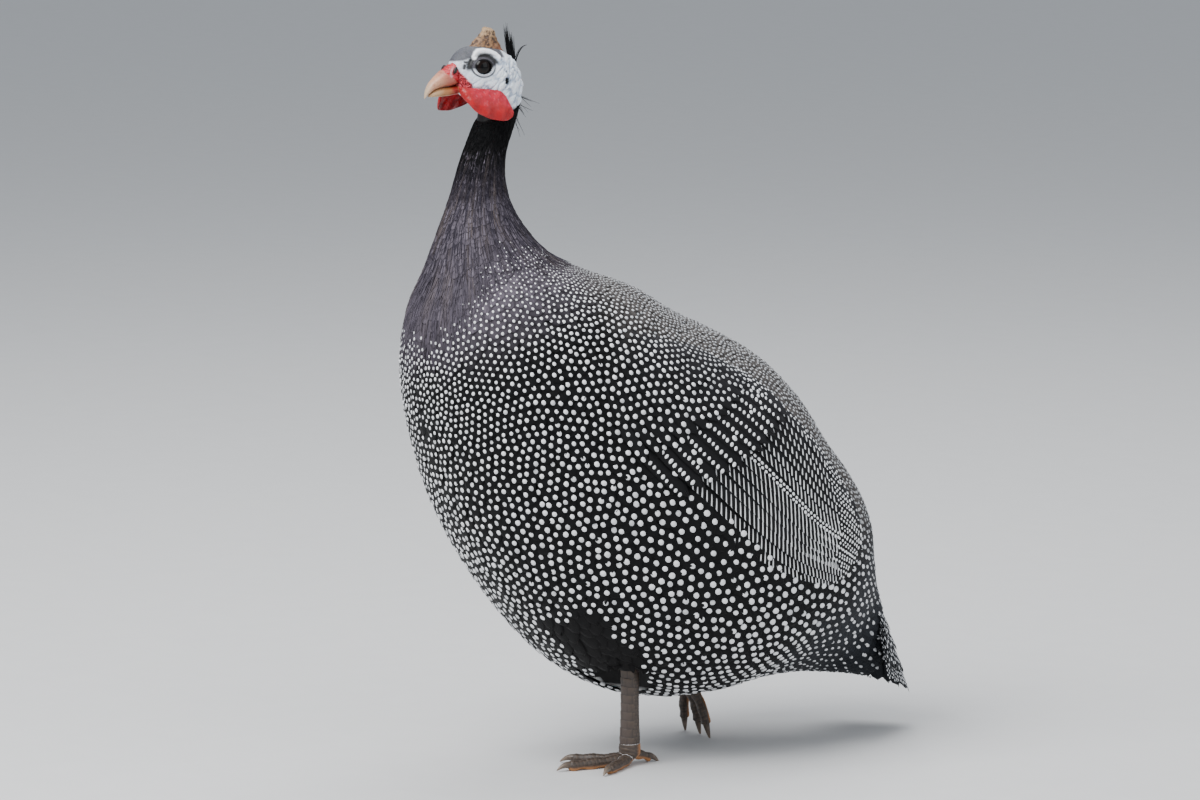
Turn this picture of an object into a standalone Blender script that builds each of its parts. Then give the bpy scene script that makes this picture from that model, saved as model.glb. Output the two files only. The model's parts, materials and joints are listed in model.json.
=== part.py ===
"""A life-size model of a helmeted guinea fowl in mid-stride, in metres, +Z up, facing -Y, its left side +X.

The trunk and the neck are one loft between a line along the back and a line along the breast and belly.
Places are written as (side, ahead, up): side is to the bird's left, ahead is towards its bill.
"""

import math
import random

import bmesh
import bpy
import numpy as np
from mathutils import Vector

MM = 0.001

# The fit of the pieces
GAP = 0.3 * MM
MERGE = 0.004 * MM
FLOOR_SIZE = 0.2

# The middle of the head between the eyes, ahead of the standing foot and above the floor
EYE_AHEAD = 90.0 * MM
EYE_UP = 448.0 * MM

# How finely the head and the trunk are divided
HEAD_RINGS = 17
HEAD_AROUND = 20
TORSO_RINGS = 20
TORSO_AROUND = 30

# Where the trunk is parted, counted in its stations
NECK_TOP = 9.2
NECK_MIDDLE = 12.4
NECK_BASE = 15.6
RUMP = 26.0

# The middle of the whole bird from bill side to tail, ahead of the standing foot: the origin lies under it
MIDDLE_AHEAD = -50.3 * MM

# Eyes, lids, brows, ears and nostrils, in millimetres as side, ahead and up from between the eyes
EYE_RADIUS = 6.8 * MM
EYE_SIDE = 8.0
LID_SIDE = 12.8
LID_MAJOR = 5.5 * MM
LID_MINOR = 0.95 * MM
LID_AXIS = np.array([1.0, -0.08, 0.12])
BROW = ((8.6, 3.5, 7.2), (8.3, 1.0, 8.2), (8.6, -3.0, 9.0), (9.3, -7.5, 8.4), (10.9, -11.0, 5.8))
BROW_RADII = (0.6, 1.2, 1.4, 1.3, 0.6)
EAR = (13.6, -15.6, -10.0)
EAR_RADII = (2.6, 1.8, 2.2)
NOSTRIL = (6.2, 19.6, -3.4)
NOSTRIL_RADII = (2.4, 2.4, 1.2)

# The casque from its base on the crown to its top: front ahead and up, back ahead and up, half width
# and squareness, in millimetres from between the eyes
CASQUE_STATIONS = (
    (4.5, 6.5, -23.5, 1.0, 7.2, 2.0),
    (3.6, 10.4, -22.2, 5.6, 6.9, 2.0),
    (1.0, 13.6, -18.8, 9.6, 5.9, 2.0),
    (-1.8, 16.4, -16.6, 13.4, 4.9, 2.0),
    (-4.4, 19.2, -15.3, 16.8, 4.3, 2.0),
    (-6.2, 21.8, -14.2, 19.8, 3.5, 2.0),
    (-7.8, 23.4, -12.0, 22.4, 1.6, 2.0),
)

# The bill: ridge ahead and up, edge ahead and up, half width and squareness, from between the eyes
BILL_UPPER = (
    (12.6, 2.6, 9.8, -10.6, 6.4, 2.1),
    (17.0, 1.9, 14.6, -11.9, 7.2, 2.1),
    (21.0, -0.7, 18.6, -12.5, 6.5, 2.1),
    (24.9, -3.7, 22.4, -12.8, 5.6, 2.1),
    (28.7, -6.9, 26.2, -13.5, 4.6, 2.1),
    (32.4, -10.6, 29.8, -15.0, 3.4, 2.0),
    (34.6, -15.0, 32.6, -17.2, 2.1, 2.0),
    (35.3, -18.4, 34.4, -19.0, 1.0, 2.0),
    (35.2, -19.7, 34.9, -19.8, 0.4, 2.0),
)
BILL_LOWER = (
    (10.0, -12.2, 9.2, -15.6, 5.2, 2.1),
    (14.4, -12.7, 13.4, -17.6, 6.1, 2.1),
    (19.0, -13.4, 18.2, -18.5, 5.4, 2.1),
    (23.4, -13.8, 23.0, -18.8, 4.4, 2.1),
    (27.8, -15.0, 27.4, -18.9, 3.3, 2.0),
    (31.4, -17.3, 31.2, -18.9, 1.6, 2.0),
    (32.6, -18.3, 32.6, -18.7, 0.5, 2.0),
)

# A wattle from the corner of the mouth back to its tip: root ahead, up and side, lower edge ahead,
# up and side, thickness, in millimetres from between the eyes; the right one swings forward
LEFT_WATTLE = (
    (16.0, -12.4, 9.6, 15.4, -17.0, 10.6, 1.6),
    (12.8, -12.6, 10.9, 13.6, -20.8, 13.8, 3.2),
    (8.0, -13.2, 12.0, 10.2, -25.6, 16.2, 3.4),
    (2.0, -13.9, 12.8, 5.2, -29.6, 18.2, 3.2),
    (-4.5, -14.6, 13.4, -1.0, -32.4, 19.3, 3.0),
    (-10.5, -15.6, 14.0, -8.0, -33.8, 20.0, 2.8),
    (-13.8, -18.6, 15.0, -12.8, -33.8, 20.4, 2.6),
    (-16.0, -23.6, 17.0, -16.2, -31.8, 20.2, 2.0),
    (-17.2, -27.0, 18.4, -17.5, -29.4, 19.4, 0.9),
)
RIGHT_WATTLE = (
    (16.6, -12.6, 10.4, 16.8, -16.5, 11.2, 1.6),
    (14.9, -13.0, 10.9, 17.8, -23.5, 14.6, 3.4),
    (11.5, -13.2, 11.6, 16.2, -28.8, 17.6, 3.8),
    (7.0, -13.8, 12.2, 9.5, -29.8, 18.8, 3.4),
    (2.0, -14.4, 12.8, 2.5, -29.0, 19.2, 3.0),
    (-3.5, -15.0, 13.2, -3.6, -26.6, 18.8, 2.8),
    (-8.0, -16.8, 13.8, -8.4, -23.6, 17.4, 2.2),
    (-10.8, -18.8, 14.4, -11.0, -21.0, 15.4, 0.9),
)
WATTLE_CUP = 1.5
WATTLE_FOLD = 0.7
WATTLE_BULBS = (
    (10.4, 12.6, -11.9, (2.0, 3.2, 1.9)),
    (11.6, 7.6, -12.8, (1.9, 3.2, 1.9)),
)

CREST_SEED = 7
CREST_LOCKS = 9
CREST_ROOT = (-26.6, 1.2)
CREST_BED = (4.0, 3.0, 5.0)
CREST_HEIGHT = 23.0
CREST_RADIUS = 0.62 * MM
NECK_SEED = 11
NECK_LOCKS = 7

# The folded wing, in trunk stations and degrees down from the back's middle line
VANE_THICK = 0.6 * MM
TILT = 0.18
ARM_FRONT = 17.5
ARM_REAR = 20.7
ARM_EDGE = 0.7 * MM
ARM_SWELL = 2.6 * MM
ARM_DEPTH = 7.0 * MM
WING_UPPER_EDGE = ((17.5, 66.0), (17.8, 57.0), (18.4, 48.0), (19.2, 42.0), (20.7, 38.0))
WING_LOWER_EDGE = ((17.5, 79.0), (17.8, 87.0), (18.4, 93.5), (19.2, 97.0), (19.9, 94.5), (20.7, 91.5))
FLIGHT_FEATHERS = 10
FLIGHT_WIDTH = 12.0 * MM
FLIGHT_HEIGHTS = np.array([0.9, 2.1, 2.1, 1.9]) * MM
GREATER_COVERTS = 7
LESSER_COVERTS = 6
COVERT_WIDTH = 13.5 * MM
COVERT_HEIGHTS = np.array([1.4, 4.4, 5.6]) * MM
LESSER_HEIGHTS = np.array([0.9, 4.0, 5.6]) * MM

# The tail in millimetres: back line ahead and up, under line ahead and up, half width, squareness
TAIL_CORE = (
    (-199.92, 107.41, -160.12, 41.41, 33.8, 2.0),
    (-205.0, 89.5, -175.0, 39.5, 29.0, 2.0),
    (-210.5, 71.0, -190.0, 37.0, 22.0, 2.0),
    (-216.5, 55.0, -203.0, 33.5, 12.0, 2.0),
)
TAIL_ROOT = (-200.0, 91.0)
TAIL_TIP = (-232.3, 21.5)
TAIL_SPREAD = 36.0
TAIL_RISE = 15.0
TAIL_ARCH = 5.0
TAIL_TILT = 0.24
TAIL_ROOF = 62.0
# Feathers, share of the full length, lift off the core, vane width, half spread
TAIL_TIERS = (
    (13, 1.0, 0.0, 13.0, 39.0),
    (9, 0.66, 5.2, 14.0, 32.0),
)

# The thighs down from the hip to the hock: side, ahead, up, radius, in millimetres
LEFT_THIGH = (
    (55, 32, 172, 10.0),
    (53, 26, 157, 24.0),
    (50, 20, 137, 31.0),
    (45, 12, 115, 29.0),
    (39, 3, 95, 21.0),
    (35, -2, 83, 12.0),
    (34, -3, 77, 7.5),
)
RIGHT_THIGH = (
    (52, -2, 184, 10.0),
    (51, -6, 169, 24.0),
    (48, -14, 149, 31.0),
    (44, -24, 129, 28.0),
    (40, -33, 111, 20.0),
    (38, -39, 99, 12.0),
    (37, -41, 93, 7.5),
)
LEFT_HOLLOW = ((34, -3, 86, 12.0), (34, -3, 74, 19.0), (34, -2, 58, 24.0), (34, 2, 30, 33.0))
RIGHT_HOLLOW = ((38, -38, 101, 10.0), (38, -48, 84, 16.0), (37, -62, 66, 20.0), (35, -84, 34, 24.0))

# The shanks and the feet
SHANK_FLAT = 0.8
ANKLE_REACH = 6.5 * MM
CLAW_LENGTH = 11.0
LEFT_FOOT = {
    "joint": (34, -3, 7.5),
    "hock": (34, -3, 84),
    "stands": True,
    "claw_drop": 2.2,
    "claw_lift": 1.1,
    "toes": (
        (((34, -3, 6.5), (34, 8, 4.0), (33, 24, 3.5), (32, 41, 3.3)), 4.0),
        (((34, -3, 6.5), (28, 5, 4.0), (19, 16, 3.4), (11, 26, 3.2)), 3.8),
        (((34, -3, 6.5), (40, 5, 4.0), (48, 16, 3.4), (55, 25, 3.2)), 3.8),
        (((34, -3, 8.0), (33, -11, 6.0), (32, -19, 3.4)), 3.2),
    ),
}
RIGHT_FOOT = {
    "joint": (-34, -84, 36),
    "hock": (-37, -40, 98),
    "stands": False,
    "claw_drop": 2.0,
    "claw_lift": 0.0,
    "toes": (
        (((-34, -84, 36), (-34, -89, 28), (-34, -92.5, 18), (-34, -94, 8.6)), 3.9),
        (((-34, -84, 36), (-27, -87.5, 29), (-22, -90.5, 18), (-20, -92, 8.6)), 3.6),
        (((-34, -84, 36), (-41, -87.5, 29), (-46, -90.5, 18), (-48, -92, 8.6)), 3.6),
        (((-34, -84, 38), (-34, -92.5, 39), (-34, -99, 35)), 3.1),
    ),
}

# One row a station from the head down the neck and back to the rump, in millimetres:
# the back line's ahead and up, the breast line's ahead and up, the half width, the squareness
TRUNK_STATIONS = (
    (105.6, 452.6, 102.2, 431.2, 7.2, 2.1),
    (102.6, 456.0, 100.2, 430.4, 8.6, 2.1),
    (98.2, 458.6, 97.2, 429.4, 10.6, 2.2),
    (92.5, 459.8, 93.2, 428.4, 12.6, 2.2),
    (85.0, 460.2, 89.4, 427.2, 13.8, 2.2),
    (76.5, 458.6, 86.8, 425.5, 14.5, 2.2),
    (68.0, 454.2, 85.2, 423.0, 14.7, 2.1),
    (61.6, 446.4, 84.8, 420.3, 14.3, 2.0),
    (58.4, 437.4, 85.3, 417.4, 13.5, 2.0),
    (58.0, 428.6, 86.5, 414.0, 13.0, 2.0),
    (59.8, 420.0, 88.4, 410.5, 12.9, 2.0),
    (64.0, 408.0, 91.5, 404.0, 13.5, 2.0),
    (70.0, 391.0, 98.5, 386.0, 15.5, 2.0),
    (70.0, 372.0, 105.0, 364.0, 19.5, 2.0),
    (62.0, 352.0, 113.0, 342.0, 27.0, 2.0),
    (43.0, 330.0, 120.5, 317.0, 41.0, 2.1),
    (13.0, 316.0, 130.5, 290.0, 58.0, 2.1),
    (-17.0, 304.2, 132.0, 252.0, 73.0, 2.2),
    (-44.6, 287.7, 123.5, 209.0, 84.0, 2.2),
    (-75.5, 273.1, 106.0, 161.0, 91.0, 2.2),
    (-105.7, 255.7, 76.0, 112.0, 94.0, 2.2),
    (-132.0, 231.2, 35.0, 67.0, 93.0, 2.2),
    (-151.9, 203.1, -12.0, 41.5, 88.0, 2.2),
    (-171.7, 178.1, -60.0, 37.5, 79.0, 2.2),
    (-186.4, 154.2, -103.0, 42.5, 66.0, 2.1),
    (-193.0, 131.0, -138.0, 43.5, 50.0, 2.0),
    (-199.8, 107.5, -160.0, 41.5, 34.0, 2.0),
)


def spline(rows, t):
    """Catmull-Rom values of the table at t, where t counts rows from 0."""
    rows = np.asarray(rows, float)
    padded = np.vstack([2 * rows[0] - rows[1], rows, 2 * rows[-1] - rows[-2]])
    t = np.clip(np.asarray(t, float), 0, len(rows) - 1)
    k = np.minimum(t.astype(int), len(rows) - 2)
    u = (t - k)[..., None]
    a, b, c, d = (padded[k + i] for i in range(4))
    return 0.5 * (2 * b + (c - a) * u + (2 * a - 5 * b + 4 * c - d) * u**2 + (3 * b - a - 3 * c + d) * u**3)


def place(side, ahead, up):
    """The world point of a place on the bird."""
    return np.stack(np.broadcast_arrays(side, MIDDLE_AHEAD - np.asarray(ahead, float), up), -1)


def loft_point(rows, t, turn):
    """A point on a loft: turn is 0 on its upper line and a half turn on its lower one, by way of the left."""
    top_ahead, top_up, low_ahead, low_up, half, square = np.moveaxis(spline(rows, t), -1, 0)
    cos, sin = np.cos(turn), np.sin(turn)
    share = np.sign(cos) * np.abs(cos) ** (2 / square)
    side = np.sign(sin) * np.abs(sin) ** (2 / square) * half
    ahead = (top_ahead + low_ahead) / 2 + share * (top_ahead - low_ahead) / 2
    up = (top_up + low_up) / 2 + share * (top_up - low_up) / 2
    return place(side * MM, ahead * MM, up * MM)


def trunk(t, turn, out=0.0):
    """The trunk's surface, lifted along its outward normal by out."""
    t, turn = np.broadcast_arrays(np.asarray(t, float), np.asarray(turn, float))
    step = 0.01
    along = loft_point(TRUNK_STATIONS, t + step, turn) - loft_point(TRUNK_STATIONS, t - step, turn)
    around = loft_point(TRUNK_STATIONS, t, turn + step) - loft_point(TRUNK_STATIONS, t, turn - step)
    normal = np.cross(around, along)
    normal /= np.maximum(np.linalg.norm(normal, axis=-1, keepdims=True), 1e-12)
    return loft_point(TRUNK_STATIONS, t, turn) + normal * np.asarray(out)[..., None]


def turned(degrees):
    return math.radians(degrees)


def spread(count, start=-1.0, end=1.0):
    """Evenly spaced shares from start to end."""
    return [start + (end - start) * i / (count - 1) for i in range(count)]


def clear_scene():
    for obj in list(bpy.data.objects):
        bpy.data.objects.remove(obj)


def add_solid(name, points, faces):
    """A mesh object with its faces turned outwards."""
    mesh = bpy.data.meshes.new(name)
    mesh.from_pydata(np.asarray(points, float).tolist(), [], faces)
    work = bmesh.new()
    work.from_mesh(mesh)
    bmesh.ops.recalc_face_normals(work, faces=work.faces)
    work.to_mesh(mesh)
    work.free()
    obj = bpy.data.objects.new(name, mesh)
    bpy.context.scene.collection.objects.link(obj)
    return obj


def closed_tube(name, rings):
    """A closed mesh through rings of points, with a fan of faces over each end."""
    rings = np.asarray(rings, float)
    count, around = rings.shape[:2]
    points = np.vstack([rings.reshape(-1, 3), rings[0].mean(0), rings[-1].mean(0)])
    first, last = count * around, count * around + 1
    i, j = np.meshgrid(np.arange(count - 1), np.arange(around), indexing="ij")
    k = (j + 1) % around
    sides = np.stack([i * around + j, i * around + k, (i + 1) * around + k, (i + 1) * around + j], -1)
    faces = sides.reshape(-1, 4).tolist()
    end = (count - 1) * around
    faces += [(first, (n + 1) % around, n) for n in range(around)]
    faces += [(last, end + n, end + (n + 1) % around) for n in range(around)]
    return add_solid(name, points, faces)


def ring_angles(count):
    return np.arange(count) * 2 * math.pi / count


def loft(name, rows, start, end, steps, around):
    """A closed loft over part of a table of stations."""
    t = np.linspace(start, end, steps)[:, None]
    return closed_tube(name, loft_point(rows, t, ring_angles(around)[None, :]))


def trunk_piece(name, start, end, steps, around):
    """A length of the trunk whose two end rings draw back by half the gap from the planes they lie in."""
    t = np.linspace(start, end, steps)[:, None]
    rings = trunk(t, ring_angles(around)[None, :])
    for ring, inner in ((rings[0], rings[1]), (rings[-1], rings[-2])):
        normal = np.cross(ring[around // 4] - ring[0], ring[around // 2] - ring[0])
        normal /= np.linalg.norm(normal)
        normal *= np.sign(normal @ (inner.mean(0) - ring.mean(0)))
        ring += normal * GAP / 2
    return closed_tube(name, rings)


def lock(name, centres, radii, around=6, flat=1.0):
    """A tapered rod along a path; flat under 1 makes it wider than it is thick."""
    centres = np.asarray(centres, float)
    along = np.gradient(centres, axis=0)
    along /= np.linalg.norm(along, axis=1, keepdims=True)
    guide = np.array([1.0, 0, 0]) if abs(along[0][0]) < 0.7 else np.array([0, 1.0, 0])
    side = np.cross(along, guide)
    side /= np.linalg.norm(side, axis=1, keepdims=True)
    other = np.cross(along, side)
    turn = ring_angles(around)[None, :, None]
    radii = np.asarray(radii, float)[:, None, None]
    rings = centres[:, None] + radii * (np.cos(turn) * side[:, None] + np.sin(turn) * other[:, None] * flat)
    return closed_tube(name, rings)


def vane(name, centres, across, normals, widths, thick, tilt=0.0):
    """A feather's vane: a thin slab along a path, both faces triangulated alike, one edge raised by tilt."""
    widths = np.asarray(widths, float)[:, None]
    lean = across + normals * tilt
    left = centres - lean * widths / 2
    right = centres + lean * widths / 2
    half = normals * np.asarray(thick, float)[:, None] / 2
    corners = np.stack([left + half, right + half, right - half, left - half], 1)
    faces = [(0, 1, 2), (0, 2, 3)]
    for i in range(len(centres) - 1):
        a, b = 4 * i, 4 * i + 4
        faces += [(a, b, b + 1), (a, b + 1, a + 1)]
        faces += [(a + 3, b + 2, b + 3), (a + 3, a + 2, b + 2)]
        faces += [(a + 1, b + 1, b + 2), (a + 1, b + 2, a + 2)]
        faces += [(a, a + 3, b + 3), (a, b + 3, b)]
    end = 4 * (len(centres) - 1)
    faces += [(end, end + 2, end + 1), (end, end + 3, end + 2)]
    return add_solid(name, corners.reshape(-1, 3), faces)


def vane_shape(steps, width, root_share=0.7):
    """The widths along a vane: narrower at the root, widest past the middle, rounded off at the tip."""
    s = np.linspace(0, 1, steps)
    body = root_share + (1 - root_share) * np.minimum(s / 0.55, 1)
    tip = np.sqrt(np.clip(1 - np.clip((s - 0.72) / 0.28, 0, 1) ** 2 * 0.93, 0.02, 1))
    return width * body * tip


def ball(name, centre, radii, rounds=3):
    mesh = bpy.data.meshes.new(name)
    work = bmesh.new()
    bmesh.ops.create_icosphere(work, subdivisions=rounds, radius=1.0)
    for vert in work.verts:
        vert.co = Vector([centre[k] + vert.co[k] * radii[k] for k in range(3)])
    work.to_mesh(mesh)
    work.free()
    obj = bpy.data.objects.new(name, mesh)
    bpy.context.scene.collection.objects.link(obj)
    return obj


def ring_solid(name, centre, axis, major, minor, steps=18, around=6):
    """A ring lying across an axis, such as an eyelid."""
    axis = np.asarray(axis, float) / np.linalg.norm(axis)
    first = np.cross(axis, [0, 0, 1.0])
    first /= np.linalg.norm(first)
    second = np.cross(axis, first)
    a = ring_angles(steps)[:, None, None]
    b = ring_angles(around)[None, :, None]
    out = np.cos(a) * first + np.sin(a) * second
    points = np.asarray(centre) + out * (major + minor * np.cos(b)) + axis * minor * np.sin(b)
    faces = []
    for i in range(steps):
        for j in range(around):
            k, m = (i + 1) % steps, (j + 1) % around
            faces.append((i * around + j, k * around + j, k * around + m, i * around + m))
    return add_solid(name, points.reshape(-1, 3), faces)


def remove(obj):
    mesh = obj.data
    bpy.data.objects.remove(obj)
    bpy.data.meshes.remove(mesh)


def grown(obj, by):
    """A copy whose faces all stand out by the same distance."""
    copy = obj.copy()
    copy.data = obj.data.copy()
    bpy.context.scene.collection.objects.link(copy)
    work = bmesh.new()
    work.from_mesh(copy.data)
    work.normal_update()
    moves = [(vert, vert.normal * by * min(vert.calc_shell_factor(), 1.6)) for vert in work.verts]
    for vert, move in moves:
        vert.co += move
    work.to_mesh(copy.data)
    work.free()
    return copy


def enclosed(faces):
    """Six times the volume inside a closed surface of triangles."""
    return abs(sum(f.verts[0].co.dot(f.verts[1].co.cross(f.verts[2].co)) for f in faces))


def keep_largest(obj):
    """Drops every separate surface but the one that encloses most."""
    work = bmesh.new()
    work.from_mesh(obj.data)
    bmesh.ops.triangulate(work, faces=work.faces)
    bmesh.ops.remove_doubles(work, verts=work.verts, dist=MERGE)
    bmesh.ops.dissolve_degenerate(work, edges=work.edges, dist=MERGE)
    bmesh.ops.triangulate(work, faces=work.faces)
    seen, pieces = set(), []
    for face in work.faces:
        if face in seen:
            continue
        piece, stack = [], [face]
        seen.add(face)
        while stack:
            one = stack.pop()
            piece.append(one)
            for edge in one.edges:
                for other in edge.link_faces:
                    if other not in seen:
                        seen.add(other)
                        stack.append(other)
        pieces.append(piece)
    pieces.sort(key=enclosed)
    for piece in pieces[:-1]:
        bmesh.ops.delete(work, geom=piece, context="FACES")
    loose = [vert for vert in work.verts if not vert.link_faces]
    bmesh.ops.delete(work, geom=loose, context="VERTS")
    bmesh.ops.recalc_face_normals(work, faces=work.faces)
    work.to_mesh(obj.data)
    work.free()
    return obj


def combine(obj, others, operation, solver="EXACT"):
    """One Boolean of an object with a whole collection, applied, and the collection's objects removed."""
    group = bpy.data.collections.new("group")
    bpy.context.scene.collection.children.link(group)
    for other in others:
        bpy.context.scene.collection.objects.unlink(other)
        group.objects.link(other)
    step = obj.modifiers.new("step", "BOOLEAN")
    step.operation = operation
    step.operand_type = "COLLECTION"
    step.collection = group
    step.solver = solver
    if solver == "EXACT":
        step.use_self = False
    depsgraph = bpy.context.evaluated_depsgraph_get()
    mesh = bpy.data.meshes.new_from_object(obj.evaluated_get(depsgraph))
    obj.modifiers.clear()
    old = obj.data
    obj.data = mesh
    bpy.data.meshes.remove(old)
    mesh.name = obj.name
    for other in others:
        remove(other)
    bpy.data.collections.remove(group)
    return keep_largest(obj)


def join(obj, others):
    return combine(obj, others, "UNION")


def cut(obj, others):
    return combine(obj, others, "DIFFERENCE")


def mirrored(name, obj):
    """The same piece on the bird's other side."""
    copy = bpy.data.objects.new(name, obj.data.copy())
    bpy.context.scene.collection.objects.link(copy)
    work = bmesh.new()
    work.from_mesh(copy.data)
    for vert in work.verts:
        vert.co.x = -vert.co.x
    bmesh.ops.reverse_faces(work, faces=work.faces)
    work.to_mesh(copy.data)
    work.free()
    return copy


def paint(obj, name, colour, roughness, metallic=0.0):
    material = bpy.data.materials.get(name) or bpy.data.materials.new(name)
    material.use_nodes = True
    shader = material.node_tree.nodes["Principled BSDF"]
    shader.inputs["Base Color"].default_value = (*colour, 1.0)
    shader.inputs["Roughness"].default_value = roughness
    shader.inputs["Metallic"].default_value = metallic
    obj.data.materials.clear()
    obj.data.materials.append(material)
    return obj


def from_eye(side, ahead, up):
    """A point given in millimetres from the middle of the head between the eyes."""
    return place(side * MM, EYE_AHEAD + np.asarray(ahead) * MM, EYE_UP + np.asarray(up) * MM)


def make_head():
    """The skull with its eye sockets, lids, brows and ear openings."""
    head = trunk_piece("head", 0, NECK_TOP, HEAD_RINGS, HEAD_AROUND)
    extras, holes = [], []
    for hand in (1, -1):
        lid = from_eye(hand * LID_SIDE, 0.4, 0)
        extras.append(ring_solid("lid", lid, LID_AXIS * [hand, 1, 1], LID_MAJOR, LID_MINOR))
        brow = [from_eye(hand * side, ahead, up) for side, ahead, up in BROW]
        extras.append(lock("brow", brow, np.array(BROW_RADII) * MM, 5))
        holes.append(ball("socket", from_eye(hand * EYE_SIDE, 0.4, 0), [EYE_RADIUS + GAP] * 3))
        ear = np.array(EAR) * [hand, 1, 1]
        extras.append(ring_solid("ear_rim", from_eye(*ear) - [hand * 0.4 * MM, 0, 0], [hand, 0.25, -0.1],
                                 2.8 * MM, 0.9 * MM, 12, 5))
        holes.append(ball("ear", from_eye(*ear), np.array(EAR_RADII) * MM, 2))
    join(head, extras)
    cut(head, holes)
    return head


def make_eye(name, hand):
    return ball(name, from_eye(hand * EYE_SIDE, 0.4, 0), [EYE_RADIUS] * 3)


def knobbed(obj, centre, size, height):
    """Presses low knobs into a surface, as a casque's horn has."""
    for vert in obj.data.vertices:
        x, y, z = (vert.co - Vector(centre)) / size
        swell = math.sin(x * 2.1 + y * 1.3) * math.sin(z * 1.9 + y * 1.7) * math.sin(y * 1.1 - z)
        vert.co += vert.normal * swell * height
    return obj


def head_rows(rows):
    """Rows given from between the eyes, turned into the ahead and up of the whole bird in millimetres."""
    rows = np.array(rows, float)
    rows[:, [0, 2]] += EYE_AHEAD / MM
    rows[:, [1, 3]] += EYE_UP / MM
    return rows


def make_casque(head):
    casque = loft("casque", head_rows(CASQUE_STATIONS), 0, len(CASQUE_STATIONS) - 1, 10, 14)
    knobbed(casque, from_eye(0, -8, 15), 2.4 * MM, 0.4 * MM)
    return cut(casque, [grown(head, GAP)])


def make_bill(head):
    upper = loft("bill_upper", head_rows(BILL_UPPER), 0, len(BILL_UPPER) - 1, 13, 14)
    lower = loft("bill_lower", head_rows(BILL_LOWER), 0, len(BILL_LOWER) - 1, 8, 12)
    cut(upper, [grown(head, GAP)])
    cut(lower, [grown(head, GAP), grown(upper, GAP)])
    nostrils = []
    for hand in (1, -1):
        spot = from_eye(*(np.array(NOSTRIL) * [hand, 1, 1]))
        nostrils.append(ball("nostril", spot, np.array(NOSTRIL_RADII) * MM, 2))
    cut(upper, nostrils)
    return upper, lower


def make_wattle(name, rows, hand, head, bills):
    """A leaf of skin hanging from the corner of the mouth, with bulbs at its root and two soft folds."""
    rows = np.array(rows, float)
    steps, around = 12, 12
    t = np.linspace(0, len(rows) - 1, steps)
    top_ahead, top_up, top_side, low_ahead, low_up, low_side, thick = spline(rows, t).T
    turn = ring_angles(around)
    share = (1 + np.cos(turn)) / 2
    bulge = np.sign(np.sin(turn)) * np.abs(np.sin(turn)) ** 0.7
    ahead = low_ahead[:, None] + (top_ahead - low_ahead)[:, None] * share
    up = low_up[:, None] + (top_up - low_up)[:, None] * share
    cup = WATTLE_CUP * np.sin(math.pi * share) * np.sin(math.pi * np.linspace(0, 1, steps))[:, None]
    wave = WATTLE_FOLD * np.sin(ahead * 0.55 + up * 0.2) * (1 - share)
    side = low_side[:, None] + (top_side - low_side)[:, None] * share
    side += bulge * thick[:, None] / 2 + cup + wave
    wattle = closed_tube(name, from_eye(hand * side, ahead, up))
    bulbs = [ball("bulb", from_eye(hand * s, a, u), np.array(r) * MM, 2) for s, a, u, r in WATTLE_BULBS]
    join(wattle, bulbs)
    return cut(wattle, [grown(head, GAP)] + [grown(bill, GAP) for bill in bills])


def make_crest(head):
    """Stiff hair-like feathers standing behind the casque, rooted in a low bed."""
    rng = random.Random(CREST_SEED)
    bed = ball("crest", from_eye(0, *CREST_ROOT), np.array(CREST_BED) * MM, 2)
    locks = []
    for share in spread(CREST_LOCKS, 0, 1):
        side = rng.uniform(-2.2, 2.2)
        root = np.array([side, CREST_ROOT[0] + 1.9 - 2.8 * share, CREST_ROOT[1] + 3.4 - 4.4 * share])
        height = CREST_HEIGHT * (1 - 0.18 * share) * rng.uniform(0.82, 1.05)
        lean = np.array([rng.uniform(-1.4, 1.4), rng.uniform(0.2, 1.6), 0])
        s = np.linspace(0, 1, 4)[:, None]
        path = root + s * [0, 0, height] + s ** 2 * lean
        radii = CREST_RADIUS * np.array([1, 0.95, 0.75, 0.36])
        locks.append(lock("lock", from_eye(*path.T), radii, 4))
    join(bed, locks)
    return cut(bed, [grown(head, GAP)])


def make_neck_upper(head):
    """The dark upper neck with a few hairs standing off its nape."""
    neck = trunk_piece("neck_upper", NECK_TOP, NECK_MIDDLE, 8, 22)
    rng = random.Random(NECK_SEED)
    locks = []
    for i in range(NECK_LOCKS):
        t = NECK_TOP + 0.5 + 2.0 * i / (NECK_LOCKS - 1)
        turn = turned(rng.uniform(-38, 38))
        reach = rng.uniform(7, 13) * MM
        s = np.linspace(0, 1, 4)
        path = trunk(t + 0.45 * s, turn, -0.8 * MM + reach * s ** 1.2 * 0.55)
        locks.append(lock("wisp", path, 0.55 * MM * np.array([1.2, 1.0, 0.8, 0.45]), 4))
    return join(neck, locks)


def trunk_frame(t, turn, out):
    """Points lifted off the trunk, the outward normals there, and the way along the path."""
    centres = trunk(t, turn, out)
    normals = (trunk(t, turn, MM) - trunk(t, turn, 0.0)) / MM
    along = np.gradient(centres, axis=0)
    along /= np.linalg.norm(along, axis=1, keepdims=True)
    across = np.cross(normals, along)
    across /= np.linalg.norm(across, axis=1, keepdims=True)
    downward = trunk(t, turn + 0.02, 0.0) - trunk(t, turn, 0.0)
    across *= np.sign(np.sum(across * downward, axis=1, keepdims=True))
    return centres, across, normals


def trunk_vane(start, end, width, heights, tilt, steps=7, root_share=0.7, thick=VANE_THICK):
    """A vane lying along the trunk between two places on it, given as t and turn in degrees."""
    s = np.linspace(0, 1, steps)
    t = start[0] + (end[0] - start[0]) * s
    turn = np.radians(start[1] + (end[1] - start[1]) * s)
    out = np.interp(s, np.linspace(0, 1, len(heights)), heights)
    centres, across, normals = trunk_frame(t, turn, out)
    widths = vane_shape(steps, width, root_share)
    return vane("vane", centres, across, normals, widths, np.full(steps, thick), tilt)


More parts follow.
